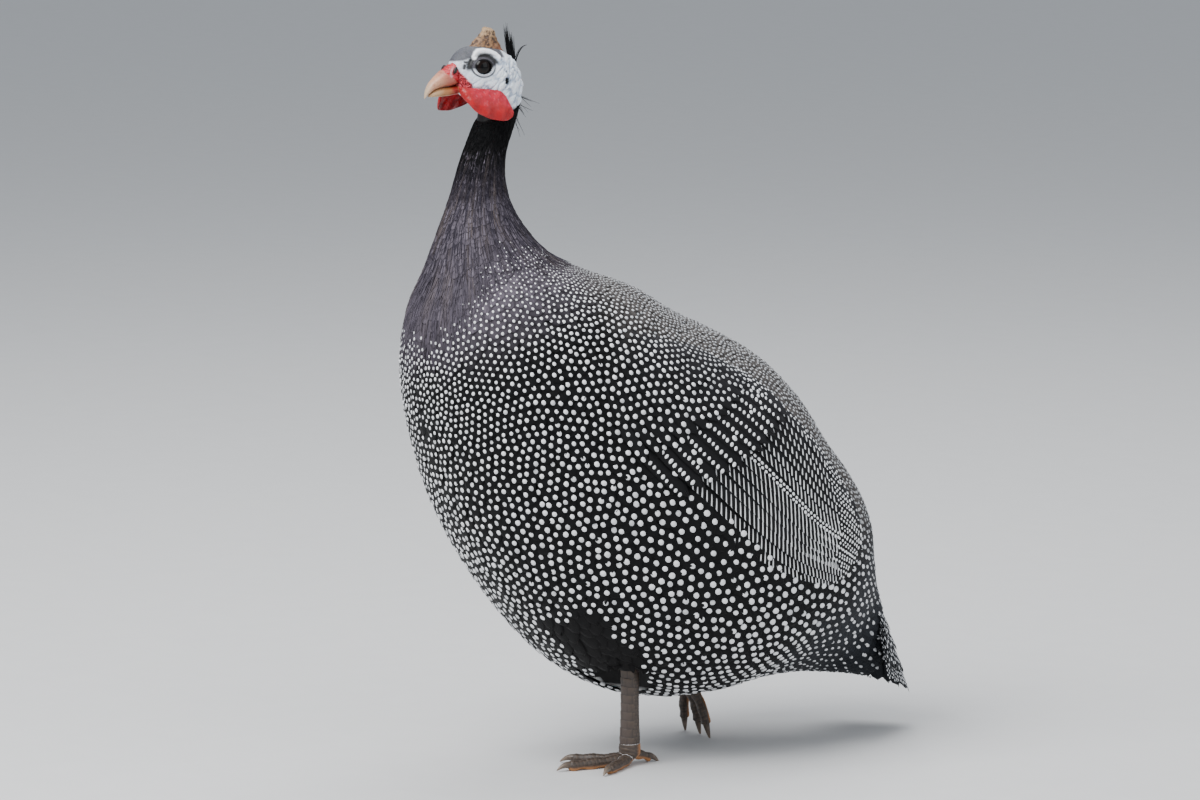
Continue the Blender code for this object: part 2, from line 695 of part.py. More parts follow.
def wing_edge(rows, t):
    rows = np.array(rows)
    return np.interp(t, rows[:, 0], rows[:, 1])


def make_wing_arm():
    """The fleshy arm of the folded wing: a shallow cushion let into the trunk's side."""
    steps, rows = 9, 8
    a = np.linspace(0, 1, steps)[:, None]
    b = np.linspace(0, 1, rows)[None, :]
    t = ARM_FRONT + (ARM_REAR - ARM_FRONT) * a
    upper = wing_edge(WING_UPPER_EDGE, t)
    lower = wing_edge(WING_LOWER_EDGE, t)
    turn = np.radians(upper + (lower - upper) * b)
    swell = np.sin(math.pi * np.clip(b, 0.0, 1.0)) ** 0.6 * np.sin(math.pi * (0.06 + 0.88 * a)) ** 0.6
    top = trunk(t + 0 * b, turn, ARM_EDGE + ARM_SWELL * swell)
    low = trunk(t + 0 * b, turn, -ARM_DEPTH * swell)
    points = np.concatenate([top.reshape(-1, 3), low.reshape(-1, 3)])
    n = steps * rows
    faces = []
    for i in range(steps - 1):
        for j in range(rows - 1):
            p, q, r, v = i * rows + j, i * rows + j + 1, (i + 1) * rows + j + 1, (i + 1) * rows + j
            faces += [(p, q, r), (p, r, v), (n + p, n + r, n + q), (n + p, n + v, n + r)]
    rim = [j for j in range(rows)]
    rim += [i * rows + rows - 1 for i in range(1, steps)]
    rim += [(steps - 1) * rows + j for j in range(rows - 2, -1, -1)]
    rim += [i * rows for i in range(steps - 2, 0, -1)]
    for k, here in enumerate(rim):
        there = rim[(k + 1) % len(rim)]
        faces += [(here, there, n + there), (here, n + there, n + here)]
    return add_solid("wing_left", points, faces)


def make_wing_feathers():
    """Flight feathers from the tertials to the outer secondaries, and two rows of coverts over their roots."""
    vanes = []
    for share in spread(FLIGHT_FEATHERS, 0, 1):
        start = (ARM_REAR - 0.7, 90.5 - 47 * share)
        end = (23.2 + 0.35 * math.sin(math.pi * share), 87.0 - 44 * share ** 1.15)
        vanes.append(trunk_vane(start, end, FLIGHT_WIDTH, FLIGHT_HEIGHTS, TILT, 6))
    for share in spread(GREATER_COVERTS, 0, 1):
        start = (19.0, 92 - 44 * share)
        end = (20.75 + 0.35 * math.sin(math.pi * share), 89.5 - 42 * share)
        vanes.append(trunk_vane(start, end, COVERT_WIDTH, COVERT_HEIGHTS, TILT, 4))
    for share in spread(LESSER_COVERTS, 0, 1):
        start = (17.95, 86 - 30 * share)
        end = (19.3, 91 - 41 * share)
        vanes.append(trunk_vane(start, end, COVERT_WIDTH, LESSER_HEIGHTS, TILT, 4))
    return vanes


def make_tail():
    """The rump's end with its drooping, roof-shaped fan of tail feathers and the coverts over their roots."""
    core = loft("tail", np.array(TAIL_CORE, float), 0, len(TAIL_CORE) - 1, 6, 18)
    vanes = []
    for count, reach, lift, width, fan in TAIL_TIERS:
        for u in spread(count):
            size = abs(u)
            root = np.array([fan * 0.62 * u, TAIL_ROOT[0] + 6 * size, TAIL_ROOT[1] - 12 * size ** 2])
            full = [fan * u, TAIL_TIP[0] + TAIL_SPREAD * size ** 1.5, TAIL_TIP[1] + TAIL_RISE * size ** 1.6]
            tip = root + (np.array(full) - root) * reach
            roof = turned(TAIL_ROOF) * u
            away = np.array([math.sin(roof), -0.87 * math.cos(roof), 0.49 * math.cos(roof)])
            away /= np.linalg.norm(away)
            steps = 5
            s = np.linspace(0, 1, steps)[:, None]
            rise = lift + (0.6 if size < 0.01 else 0.0)
            path = root + (tip - root) * s + away * (rise * np.minimum(s * 2.5, 1) + TAIL_ARCH * s * (1 - s))
            points = place(*(path.T * MM))
            along = np.gradient(points, axis=0)
            along /= np.linalg.norm(along, axis=1, keepdims=True)
            outward = np.array([away[0], -away[1], away[2]])
            across = np.cross(outward, along)
            across /= np.linalg.norm(across, axis=1, keepdims=True)
            across *= np.sign(across[:, :1]) * (-1 if u < -0.01 else 1)
            normals = np.cross(along, across)
            normals *= np.sign(np.sum(normals * outward, axis=1, keepdims=True))
            tilt = 0.0 if size < 0.01 else TAIL_TILT
            widths = vane_shape(steps, width * MM, 0.75)
            vanes.append(vane("rectrix", points, across, normals, widths, np.full(steps, VANE_THICK), tilt))
    return join(core, vanes)


def make_thigh(name, rows, hand):
    """The feathered thigh, wide at the flank and narrowing to the hock."""
    rows = np.array(rows, float)
    fine = spline(rows, np.linspace(0, len(rows) - 1, 10))
    centres = place(fine[:, 0] * MM * hand, fine[:, 1] * MM, fine[:, 2] * MM)
    return lock(name, centres, fine[:, 3] * MM, 16)


def make_hollow(rows, hand):
    """A cutter that opens the belly's feathers round a shank."""
    rows = np.array(rows, float)
    centres = place(rows[:, 0] * MM * hand, rows[:, 1] * MM, rows[:, 2] * MM)
    return lock("hollow", centres, rows[:, 3] * MM, 18)


def make_torso(arms, thighs):
    torso = trunk_piece("torso", NECK_BASE, RUMP, TORSO_RINGS, TORSO_AROUND)
    cutters = [grown(arm, GAP) for arm in arms] + [grown(thigh, GAP) for thigh in thighs]
    cutters += [make_hollow(LEFT_HOLLOW, 1), make_hollow(RIGHT_HOLLOW, -1)]
    return cut(torso, cutters)


def shank_axis(foot):
    joint, hock = (np.array(foot[key], float) * MM for key in ("joint", "hock"))
    return place(*joint), place(*hock)


def make_shank(name, foot):
    """The bare tarsus from the hock inside the thigh feathers down to the toes."""
    joint, hock = shank_axis(foot)
    way = hock - joint
    start = joint + way / np.linalg.norm(way) * (ANKLE_REACH + GAP)
    s = np.array([0, 0.05, 0.14, 0.3, 0.55, 0.78, 0.9, 0.97, 1.03])
    radii = np.array([6.6, 6.7, 6.3, 6.0, 5.9, 6.1, 6.6, 6.6, 5.4]) * MM
    return lock(name, start + (hock - start) * s[:, None], radii, 12, SHANK_FLAT)


def make_foot(name, foot):
    """Three toes forward, a short one behind, their pads and claws, flat where they meet the floor."""
    joint, hock = shank_axis(foot)
    way = (hock - joint) / np.linalg.norm(hock - joint)
    s = np.array([-0.45, 0.0, 0.55, 1.0])[:, None]
    palm = lock(name, joint + way * ANKLE_REACH * s, np.array([4.2, 6.6, 6.8, 6.6]) * MM, 12, SHANK_FLAT)
    pieces = []
    for path, thick in foot["toes"]:
        path = np.array(path, float)
        t = np.linspace(0, len(path) - 1, 2 * (len(path) - 1) + 1)
        fine = spline(path, t)
        pads = thick * (1 - 0.20 * t / t[-1]) * (1 + 0.09 * np.cos(t * 2 * math.pi))
        pieces.append(lock("toe", place(*(fine.T * MM)), pads * MM, 7))
        last, before = path[-1], path[-2]
        way_on = (last - before) / np.linalg.norm(last - before)
        down = np.array([0, 0, -1.0]) if foot["stands"] else np.array([0, -0.35, -1.0])
        k = np.linspace(0, 1, 4)[:, None]
        claw = last - way_on * 3.0 + way_on * CLAW_LENGTH * k + down * foot["claw_drop"] * k ** 2
        claw[:, 2] += foot["claw_lift"] * np.sin(math.pi * k[:, 0])
        pieces.append(lock("claw", place(*(claw.T * MM)), np.array([2.5, 2.1, 1.4, 0.5]) * MM, 5))
    join(palm, pieces)
    return cut(palm, [ground(joint)])


def ground(under):
    """A block below the floor, wide enough for a foot."""
    ring = ring_angles(4) + math.pi / 4
    flat = np.stack([under[0] + FLOOR_SIZE * np.cos(ring), under[1] + FLOOR_SIZE * np.sin(ring)], -1)
    rings = [np.column_stack([flat, np.full(4, up)]) for up in (0.0, -FLOOR_SIZE)]
    return closed_tube("ground", rings)


def main():
    clear_scene()
    head = make_head()
    skull = trunk_piece("skull", 0, NECK_TOP, HEAD_RINGS, HEAD_AROUND)
    casque = make_casque(skull)
    bill_upper, bill_lower = make_bill(skull)
    bills = [bill_upper, bill_lower]
    wattles = [make_wattle("wattle_left", LEFT_WATTLE, 1, skull, bills)]
    wattles.append(make_wattle("wattle_right", RIGHT_WATTLE, -1, skull, bills))
    crest = make_crest(skull)
    remove(skull)
    eyes = [make_eye("eye_left", 1), make_eye("eye_right", -1)]
    neck_upper = make_neck_upper(head)
    neck_lower = trunk_piece("neck_lower", NECK_MIDDLE, NECK_BASE, 8, 26)

    arm = make_wing_arm()
    arms = [arm, mirrored("wing_right", arm)]
    thighs = [make_thigh("thigh_left", LEFT_THIGH, 1), make_thigh("thigh_right", RIGHT_THIGH, -1)]
    torso = make_torso(arms, thighs)
    remove(arms[1])
    wing = join(arm, make_wing_feathers())
    wings = [wing, mirrored("wing_right", wing)]
    tail = make_tail()

    feet = [make_foot("foot_left", LEFT_FOOT), make_foot("foot_right", RIGHT_FOOT)]
    legs = [make_shank("leg_left", LEFT_FOOT), make_shank("leg_right", RIGHT_FOOT)]
    for leg, thigh in zip(legs, thighs):
        cut(leg, [grown(thigh, GAP)])

    paint(head, "bare_skin", (0.62, 0.66, 0.72), 0.6)
    paint(casque, "casque_horn", (0.36, 0.22, 0.12), 0.7)
    for obj in (bill_upper, bill_lower):
        paint(obj, "bill_horn", (0.62, 0.36, 0.28), 0.45)
    for obj in eyes:
        paint(obj, "eye_glass", (0.02, 0.015, 0.012), 0.08)
    for obj in wattles:
        paint(obj, "wattle_skin", (0.65, 0.03, 0.04), 0.4)
    for obj in (crest, neck_upper):
        paint(obj, "black_feathers", (0.02, 0.02, 0.025), 0.7)
    paint(neck_lower, "lilac_feathers", (0.14, 0.12, 0.16), 0.8)
    for obj in (torso, *thighs):
        paint(obj, "spotted_feathers", (0.09, 0.09, 0.1), 0.8)
    for obj in (*wings, tail):
        paint(obj, "barred_feathers", (0.13, 0.13, 0.14), 0.75)
    for obj in (*legs, *feet):
        paint(obj, "leg_scales", (0.2, 0.13, 0.1), 0.6)


main()
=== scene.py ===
# %% [markdown]
# # A helmeted guinea fowl in Blender
# The bird is built as a taxidermist would: a body form, a skin over it, and then every feather in its row.
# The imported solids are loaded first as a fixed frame, and each piece made here takes the place of some of them.

# %% Load the frame
import json
import math

import bpy
import numpy as np
from mathutils import Matrix

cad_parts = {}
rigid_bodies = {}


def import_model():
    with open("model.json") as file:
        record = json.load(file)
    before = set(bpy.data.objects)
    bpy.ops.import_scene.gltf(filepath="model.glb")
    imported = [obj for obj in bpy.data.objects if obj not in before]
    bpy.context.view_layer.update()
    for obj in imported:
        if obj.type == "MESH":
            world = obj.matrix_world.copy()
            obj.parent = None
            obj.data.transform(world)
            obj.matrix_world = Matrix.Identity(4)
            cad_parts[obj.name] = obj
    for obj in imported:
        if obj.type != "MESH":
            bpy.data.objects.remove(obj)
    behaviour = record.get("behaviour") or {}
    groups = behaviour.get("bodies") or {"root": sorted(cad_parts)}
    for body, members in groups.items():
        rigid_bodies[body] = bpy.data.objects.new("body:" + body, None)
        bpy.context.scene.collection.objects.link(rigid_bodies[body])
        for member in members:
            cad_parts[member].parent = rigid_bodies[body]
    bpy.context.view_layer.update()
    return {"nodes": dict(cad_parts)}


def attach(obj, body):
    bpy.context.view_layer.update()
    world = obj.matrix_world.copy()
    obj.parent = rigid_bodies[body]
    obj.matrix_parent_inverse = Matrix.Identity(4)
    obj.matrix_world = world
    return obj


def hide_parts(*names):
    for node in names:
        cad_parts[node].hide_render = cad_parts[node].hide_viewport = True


for spare in list(bpy.data.objects):
    bpy.data.objects.remove(spare)
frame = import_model()
MM = 0.001
print("solids in the frame:", len(frame["nodes"]))

# %% [markdown]
# ## The body's form
# Neck, breast, back and belly are one smooth form on the real bird, so they are one surface here too.
# A table gives the line of the back and the line of breast and belly, station by station, and a smooth curve
# runs through the stations. A point on it has two parameters: t counts stations from the bill to the rump,
# and turn goes round from the back line by way of the left side.

# %% The table of the body
MIDDLE_AHEAD = -50.3 * MM
EYE_AHEAD = 90.0 * MM
EYE_UP = 448.0 * MM
TAIL_END = 29.0

TRUNK_STATIONS = np.array((
    (105.6, 452.6, 102.2, 431.2, 7.2, 2.1),
    (102.6, 456.0, 100.2, 430.4, 8.6, 2.1),
    (98.2, 458.6, 97.2, 429.4, 10.6, 2.2),
    (92.5, 459.8, 93.2, 428.4, 12.6, 2.2),
    (85.0, 460.2, 89.4, 427.2, 13.8, 2.2),
    (76.5, 458.6, 86.8, 425.5, 14.5, 2.2),
    (68.0, 454.2, 85.2, 423.0, 14.7, 2.1),
    (61.6, 446.4, 84.8, 420.3, 14.3, 2.0),
    (58.4, 437.4, 85.3, 417.4, 13.5, 2.0),
    (58.0, 428.6, 86.5, 414.0, 13.0, 2.0),
    (59.8, 420.0, 88.4, 410.5, 12.9, 2.0),
    (64.0, 408.0, 91.5, 404.0, 13.5, 2.0),
    (70.0, 391.0, 98.5, 386.0, 15.5, 2.0),
    (70.0, 372.0, 105.0, 364.0, 19.5, 2.0),
    (62.0, 352.0, 113.0, 342.0, 27.0, 2.0),
    (43.0, 330.0, 120.5, 317.0, 41.0, 2.1),
    (13.0, 316.0, 130.5, 290.0, 58.0, 2.1),
    (-17.0, 304.2, 132.0, 252.0, 73.0, 2.2),
    (-44.6, 287.7, 123.5, 209.0, 84.0, 2.2),
    (-75.5, 273.1, 106.0, 161.0, 91.0, 2.2),
    (-105.7, 255.7, 76.0, 112.0, 94.0, 2.2),
    (-132.0, 231.2, 35.0, 67.0, 93.0, 2.2),
    (-151.9, 203.1, -12.0, 41.5, 88.0, 2.2),
    (-171.7, 178.1, -60.0, 37.5, 79.0, 2.2),
    (-186.4, 154.2, -103.0, 42.5, 66.0, 2.1),
    (-193.0, 131.0, -138.0, 43.5, 50.0, 2.0),
    (-199.8, 107.5, -160.0, 41.5, 34.0, 2.0),
    (-205.0, 89.5, -175.0, 39.5, 29.0, 2.0),
    (-210.5, 71.0, -190.0, 37.0, 22.0, 2.0),
    (-216.5, 55.0, -203.0, 33.5, 12.0, 2.0),
))


def spline(rows, t):
    """A smooth curve through a table's rows: each stretch is a cubic whose slope at a row is half the
    difference of its two neighbours."""
    rows = np.asarray(rows, float)
    padded = np.vstack([2 * rows[0] - rows[1], rows, 2 * rows[-1] - rows[-2]])
    t = np.clip(np.asarray(t, float), 0, len(rows) - 1)
    k = np.minimum(t.astype(int), len(rows) - 2)
    u = (t - k)[..., None]
    a, b, c, d = (padded[k + i] for i in range(4))
    return 0.5 * (2 * b + (c - a) * u + (2 * a - 5 * b + 4 * c - d) * u**2 + (3 * b - a - 3 * c + d) * u**3)


def place(side, ahead, up):
    """World points from millimetres to the bird's left, ahead and up."""
    side, ahead, up = np.broadcast_arrays(side, ahead, up)
    return np.stack([side * MM, MIDDLE_AHEAD - ahead * MM, up * MM], -1)


def from_eye(side, ahead, up):
    """World points from millimetres counted from the middle of the head between the eyes."""
    return place(side, EYE_AHEAD / MM + np.asarray(ahead), EYE_UP / MM + np.asarray(up))


def loft_point(rows, t, turn):
    """A loft's point: the middle of the two lines, plus the cosine of turn along the line between them and
    its sine to the side, each raised to 2 / squareness, which makes the section a little fuller than an ellipse."""
    top_ahead, top_up, low_ahead, low_up, half, square = np.moveaxis(spline(rows, t), -1, 0)
    cos, sin = np.cos(turn), np.sin(turn)
    share = np.sign(cos) * np.abs(cos) ** (2 / square)
    side = np.sign(sin) * np.abs(sin) ** (2 / square) * half
    ahead = (top_ahead + low_ahead) / 2 + share * (top_ahead - low_ahead) / 2
    up = (top_up + low_up) / 2 + share * (top_up - low_up) / 2
    return place(side, ahead, up)


def unit(v):
    return v / np.maximum(np.linalg.norm(v, axis=-1, keepdims=True), 1e-12)


class Bed:
    """A surface that feathers grow on: its points, its outward directions and its stretch at t and turn, and
    the place of t and turn on a flat unwrap of the whole skin."""

    def __init__(self, point, unwrap=None):
        self.point = point
        self.unwrap = unwrap or (lambda t, turn: (turn / (2 * math.pi) % 1.0, t / TAIL_END * 0.9))

    def slopes(self, t, turn, step=0.01):
        along = (self.point(t + step, turn) - self.point(t - step, turn)) / (2 * step)
        around = (self.point(t, turn + step) - self.point(t, turn - step)) / (2 * step)
        return along, around

    def normal(self, t, turn):
        along, around = self.slopes(t, turn)
        return unit(np.cross(around, along))


def trunk_point(t, turn):
    """The trunk's own surface, carried straight on past its last station."""
    t, turn = np.broadcast_arrays(np.asarray(t, float), np.asarray(turn, float))
    inside = np.minimum(t, TAIL_END)
    point = loft_point(TRUNK_STATIONS, inside, turn)
    past = (t - inside)[..., None]
    if past.max() > 0:
        last = loft_point(TRUNK_STATIONS, np.full_like(t, TAIL_END), turn)
        before = loft_point(TRUNK_STATIONS, np.full_like(t, TAIL_END - 0.5), turn)
        point = point + past * (last - before) * 2
    return point


TRUNK = Bed(trunk_point)
length = np.linalg.norm(np.diff(trunk_point(np.linspace(9, 26, 200), 0.0), axis=0), axis=1).sum()
print("back line from nape to rump, mm:", round(length / MM))

# %% [markdown]
# ## Meshes from whole arrays
# Feathers, spots, hairs and scales are all closed tubes: rings of points, one after another, with the ends
# filled. One function turns an array of such rings into faces of four corners for thousands of tubes at once,
# and turns any tube round whose faces would look inwards.

# %% Helpers for meshes
def tube_faces(rings):
    """Faces for tubes in an array of tubes, rings, points round and 3. Side faces join ring to ring, and a
    strip of faces across the ring closes each end, so the number of points round is even."""
    count, steps, around = rings.shape[:3]
    i = np.arange(steps - 1)[:, None] * around
    j = np.arange(around)[None, :]
    k = (j + 1) % around
    sides = np.stack([i + j, i + k, i + around + k, i + around + j], -1).reshape(-1, 4)
    c = np.arange(around // 2 - 1)
    first = np.stack([around - 1 - c, around - 2 - c, c + 1, c], -1)
    last = first[:, ::-1] + (steps - 1) * around
    one = np.concatenate([sides, first, last])
    points = rings.reshape(count, -1, 3)
    centred = points - points.mean(1, keepdims=True)
    a, b, c, d = (centred[:, one[:, n]] for n in range(4))
    volume = np.sum(np.cross(a, b) * c + np.cross(a, c) * d, axis=(1, 2))
    faces = np.broadcast_to(one, (count, *one.shape)).copy()
    inward = volume < 0
    faces[inward] = faces[inward][:, :, ::-1]
    faces += (np.arange(count) * steps * around)[:, None, None]
    return points.reshape(-1, 3), faces.reshape(-1, 4)


def put(name, points, faces, maps=(), fields=(), smooth=True):
    """One mesh object at the origin from arrays of points and four-cornered faces. maps are named UV maps
    given for each point, and fields are named numbers or colours given for each point."""
    mesh = bpy.data.meshes.new(name)
    mesh.vertices.add(len(points))
    mesh.vertices.foreach_set("co", np.ascontiguousarray(points, np.float32).ravel())
    mesh.loops.add(faces.size)
    mesh.loops.foreach_set("vertex_index", faces.astype(np.int32).ravel())
    mesh.polygons.add(len(faces))
    mesh.polygons.foreach_set("loop_start", np.arange(0, faces.size, faces.shape[1], dtype=np.int32))
    mesh.polygons.foreach_set("use_smooth", np.full(len(faces), smooth))
    for title, values in dict(maps).items():
        layer = mesh.uv_layers.new(name=title)
        layer.uv.foreach_set("vector", values[faces.ravel()].astype(np.float32).ravel())
    for title, values in dict(fields).items():
        if values.ndim == 1:
            mesh.attributes.new(title, "FLOAT", "POINT").data.foreach_set("value", values.astype(np.float32))
        else:
            colour = np.concatenate([values, np.ones((len(values), 1))], 1).astype(np.float32)
            mesh.attributes.new(title, "FLOAT_COLOR", "POINT").data.foreach_set("color", colour.ravel())
    mesh.update(calc_edges=True)
    mesh.validate()
    piece = bpy.data.objects.new(name, mesh)
    bpy.context.scene.collection.objects.link(piece)
    return piece


def ease(low, high, value):
    """0 below low, 1 above high and a smooth rise between them."""
    x = np.clip((np.asarray(value, float) - low) / (high - low), 0, 1)
    return x * x * (3 - 2 * x)


SLOPES = np.random.default_rng(7).normal(size=(64, 3))
SLOPES /= np.linalg.norm(SLOPES, axis=1, keepdims=True)


def noise(points, seed=0):
    """Smooth noise from about -1 to 1: each corner of unit cells has a random slope, which is multiplied by the
    way from that corner, and the eight results are eased into each other."""
    cell = np.floor(points).astype(np.int64)
    part = points - cell
    smooth = part**3 * (part * (part * 6 - 15) + 10)
    total = np.zeros(points.shape[:-1])
    for corner in np.ndindex(2, 2, 2):
        at = cell + corner
        mix = (at[..., 0] * 374761393 + at[..., 1] * 668265263 + at[..., 2] * 915488749 + seed * 144665) & 0xFFFFFFFF
        mix = ((mix ^ (mix >> 13)) * 1274126177) & 0xFFFFFFFF
        slope = SLOPES[(mix ^ (mix >> 16)) & 63]
        total += np.sum(slope * (part - corner), -1) * np.prod(np.where(np.array(corner) == 1, smooth, 1 - smooth), -1)
    return total * 1.7


def linear(code):
    """A hex sRGB colour as linear red, green and blue."""
    value = np.array([int(code[i:i + 2], 16) for i in (1, 3, 5)]) / 255
    return np.where(value <= 0.04045, value / 12.92, ((value + 0.055) / 1.055) ** 2.4)


def blend(base, other, share):
    """Colours moved from base towards other by a share."""
    share = np.asarray(share, float)[..., None]
    return base * (1 - share) + other * share


# %% [markdown]
# ## The camera
# The photo looks at the bird's left side from a little in front and above, through a long lens, so that the
# far side hardly narrows. The camera is set from the angle, the lens and the size that one pixel has.

# %% The camera
AZIMUTH = math.radians(60)
ELEVATION = math.radians(8)
LENS = 200.0
SENSOR = 36.0
PIXELS_PER_METRE = 1562.5
STANDING_FOOT = np.array([0.0, MIDDLE_AHEAD, 0.0])
FOOT_PIXEL = (599.0, 756.5)

back = np.array([math.sin(AZIMUTH) * math.cos(ELEVATION), -math.cos(AZIMUTH) * math.cos(ELEVATION), math.sin(ELEVATION)])
right = np.array([math.cos(AZIMUTH), math.sin(AZIMUTH), 0.0])
upward = np.cross(back, right)
aim = STANDING_FOOT + right * (600 - FOOT_PIXEL[0]) / PIXELS_PER_METRE
aim = aim - upward * (400 - FOOT_PIXEL[1]) / PIXELS_PER_METRE
eye_point = aim + back * LENS / SENSOR * 1200 / PIXELS_PER_METRE

lens = bpy.data.cameras.new("camera")
lens.lens = LENS
lens.sensor_width = SENSOR
camera = bpy.data.objects.new("camera", lens)
camera.matrix_world = Matrix([[right[i], upward[i], back[i], eye_point[i]] for i in range(3)] + [[0, 0, 0, 1]])
bpy.context.scene.collection.objects.link(camera)
bpy.context.scene.camera = camera
print("camera distance, m:", round(float(np.linalg.norm(eye_point - aim)), 2))

# %% [markdown]
# ## The skin
# Bare skin shows only on the head: a chalky, faintly blue face with fine wrinkles, slate on the forehead,
# a black rim round the eye under a thick white brow, and red folds at the corner of the mouth. One closed
# surface carries the whole bird so that no seam shows. Its rings are close on the head, where every fold
# is pushed out or in along the normal, and it sinks under the feathers by the depth of their coat.

# %% Build the skin
def eye_places(points):
    """Millimetres to the left, ahead and up from the middle of the head between the eyes."""
    side = points[..., 0] / MM
    ahead = (MIDDLE_AHEAD - EYE_AHEAD - points[..., 1]) / MM
    return side, ahead, points[..., 2] / MM - EYE_UP / MM


def path_distance(x, y, path):
    """The distance in a plane from each place to a line through a few points."""
    best = np.full(np.shape(x), 1e9)
    for (ax, ay), (bx, by) in zip(path[:-1], path[1:]):
        share = ((x - ax) * (bx - ax) + (y - ay) * (by - ay)) / ((bx - ax) ** 2 + (by - ay) ** 2)
        share = np.clip(share, 0, 1)
        best = np.minimum(best, np.hypot(x - ax - share * (bx - ax), y - ay - share * (by - ay)))
    return best


CHALK = linear("#e9f0f8")
# CHALK_SHADE is a blue-grey for the face's patchy tone and for the painted shade in the cheek's creases.
CHALK_SHADE = linear("#9dabc2")
SLATE = linear("#1f2129")
LID_GREY = linear("#3c3a42")
BLACK_SKIN = linear("#030304")
RED_SKIN = linear("#c4202f")
RED_DEEP = linear("#74070f")
NECK_SKIN = linear("#020203")
BROW_PATH = ((5.4, 5.4), (3.7, 7.6), (1.4, 9.0), (-2.5, 9.3), (-6.4, 8.5), (-9.8, 6.8), (-11.4, 5.0))
STREAKS = (((6.4, 4.6), (8.4, 2.2), (8.8, -0.6)), ((8.4, 2.2), (10.9, 2.7)), ((11.2, 0.6), (11.7, -1.2)))
CERE_STREAKS = (((25.0, 3.2), (22.6, 4.8), (20.2, 7.0)), ((22.4, 2.2), (19.0, 2.8), (16.6, 2.0)))
EAR = (-15.5, -9.8)
EAR_CREASE = (-15.3, -4.4)


def eye_oval(ahead, up):
    """Distance from the middle of the eye, measured as an oval wider than high, and 1 above it to -1 below."""
    r = np.hypot(ahead / 1.18, up + 0.6)
    return r, (up + 0.6) / np.maximum(r, 0.1)


def cheek_folds(points):
    """Plump folds with sharp creases: the size of a noise that is long up and back along the cheek and short
    across, 0 in the creases and 1 on the folds, with a finer copy laid over it."""
    side, ahead, up = eye_places(points)
    along, across = (up - ahead) * 0.7, (up + ahead) * 0.7
    coarse = np.abs(noise(np.stack([side * 0.15, along / 8.5, across / 3.8], -1), 3)) * 1.9
    fine = np.abs(noise(np.stack([side * 0.4, along / 3.6, across / 1.6], -1), 4)) * 1.7
    return np.minimum(coarse, 1.0) * 0.7 + np.minimum(fine, 1.0) * 0.3


def gape_folds(points):
    """The same for the crumpled red skin round the mouth, finer and with no direction."""
    return np.minimum(np.abs(noise(points / (np.array([1.6, 1.9, 1.3]) * MM), 6)) * 2.3, 1.0)


def face_relief(points):
    """How far the face's folds stand out, in millimetres: lid rings round each eye and the opening inside them,
    a hollow under the brow, the brow, the ear, the cheek's folds, and swollen folds round the mouth."""
    side, ahead, up = eye_places(points)
    flank = ease(3.5, 7.0, np.abs(side))
    r, high = eye_oval(ahead, up)
    head = ease(-31.0, -26.0, up)
    lid = 0.95 * np.exp(-(((r - 4.75) / 0.6) ** 2)) - 4.6 * (1 - ease(3.75, 4.35, r))
    lid += (0.55 * np.exp(-(((r - 5.9) / 0.7) ** 2)) - 0.9 * np.exp(-(((r - 7.5) / 0.9) ** 2))) * ease(0.1, 0.5, high)
    lid += (0.5 * np.exp(-(((r - 5.5) / 0.45) ** 2)) - 0.55 * np.exp(-(((r - 6.4) / 0.4) ** 2))) * ease(0.0, -0.5, high)
    brow = 1.3 * np.exp(-((path_distance(ahead, up, BROW_PATH) / 1.15) ** 2))
    warp = 1 + 0.35 * noise(points / (1.2 * MM), 8)
    ear_r = np.hypot((ahead - EAR[0]) / 1.9, (up - EAR[1]) / 2.1) * warp
    crease_r = np.hypot((ahead - EAR_CREASE[0]) / 0.55, (up - EAR_CREASE[1]) / 1.2) * warp
    ear = 0.5 * np.exp(-(((ear_r - 1.9) / 0.5) ** 2)) - 2.4 * (1 - ease(0.5, 1.2, ear_r)) - 0.9 * np.exp(-(crease_r**2))
    cheek = ease(6.8, 8.0, r) * (1 - ease(3.6, 6.0, up)) * (1 - ease(8.0, 12.0, ahead))
    rear = np.maximum(ease(-6.0, -12.0, ahead), ease(-8.0, -13.0, up) * 0.8)
    folds = cheek_folds(points) * cheek * (0.15 + 1.15 * rear)
    pores = noise(points / (0.8 * MM), 5) * 0.05
    swell = (1.15 * gape_folds(points) - 0.1) * mouth_red(ahead, up)
    return flank * (lid + brow + ear) * head + (folds + swell + pores) * head


def mouth_red(ahead, up):
    """1 on the red folds between the bill and the corner of the mouth, 0 on the face."""
    edge = -1.1 - 1.08 * (16.2 - ahead)
    return ease(-1.0, 0.8, edge - up) * ease(5.6, 7.4, ahead) * ease(-16.0, -14.5, up)


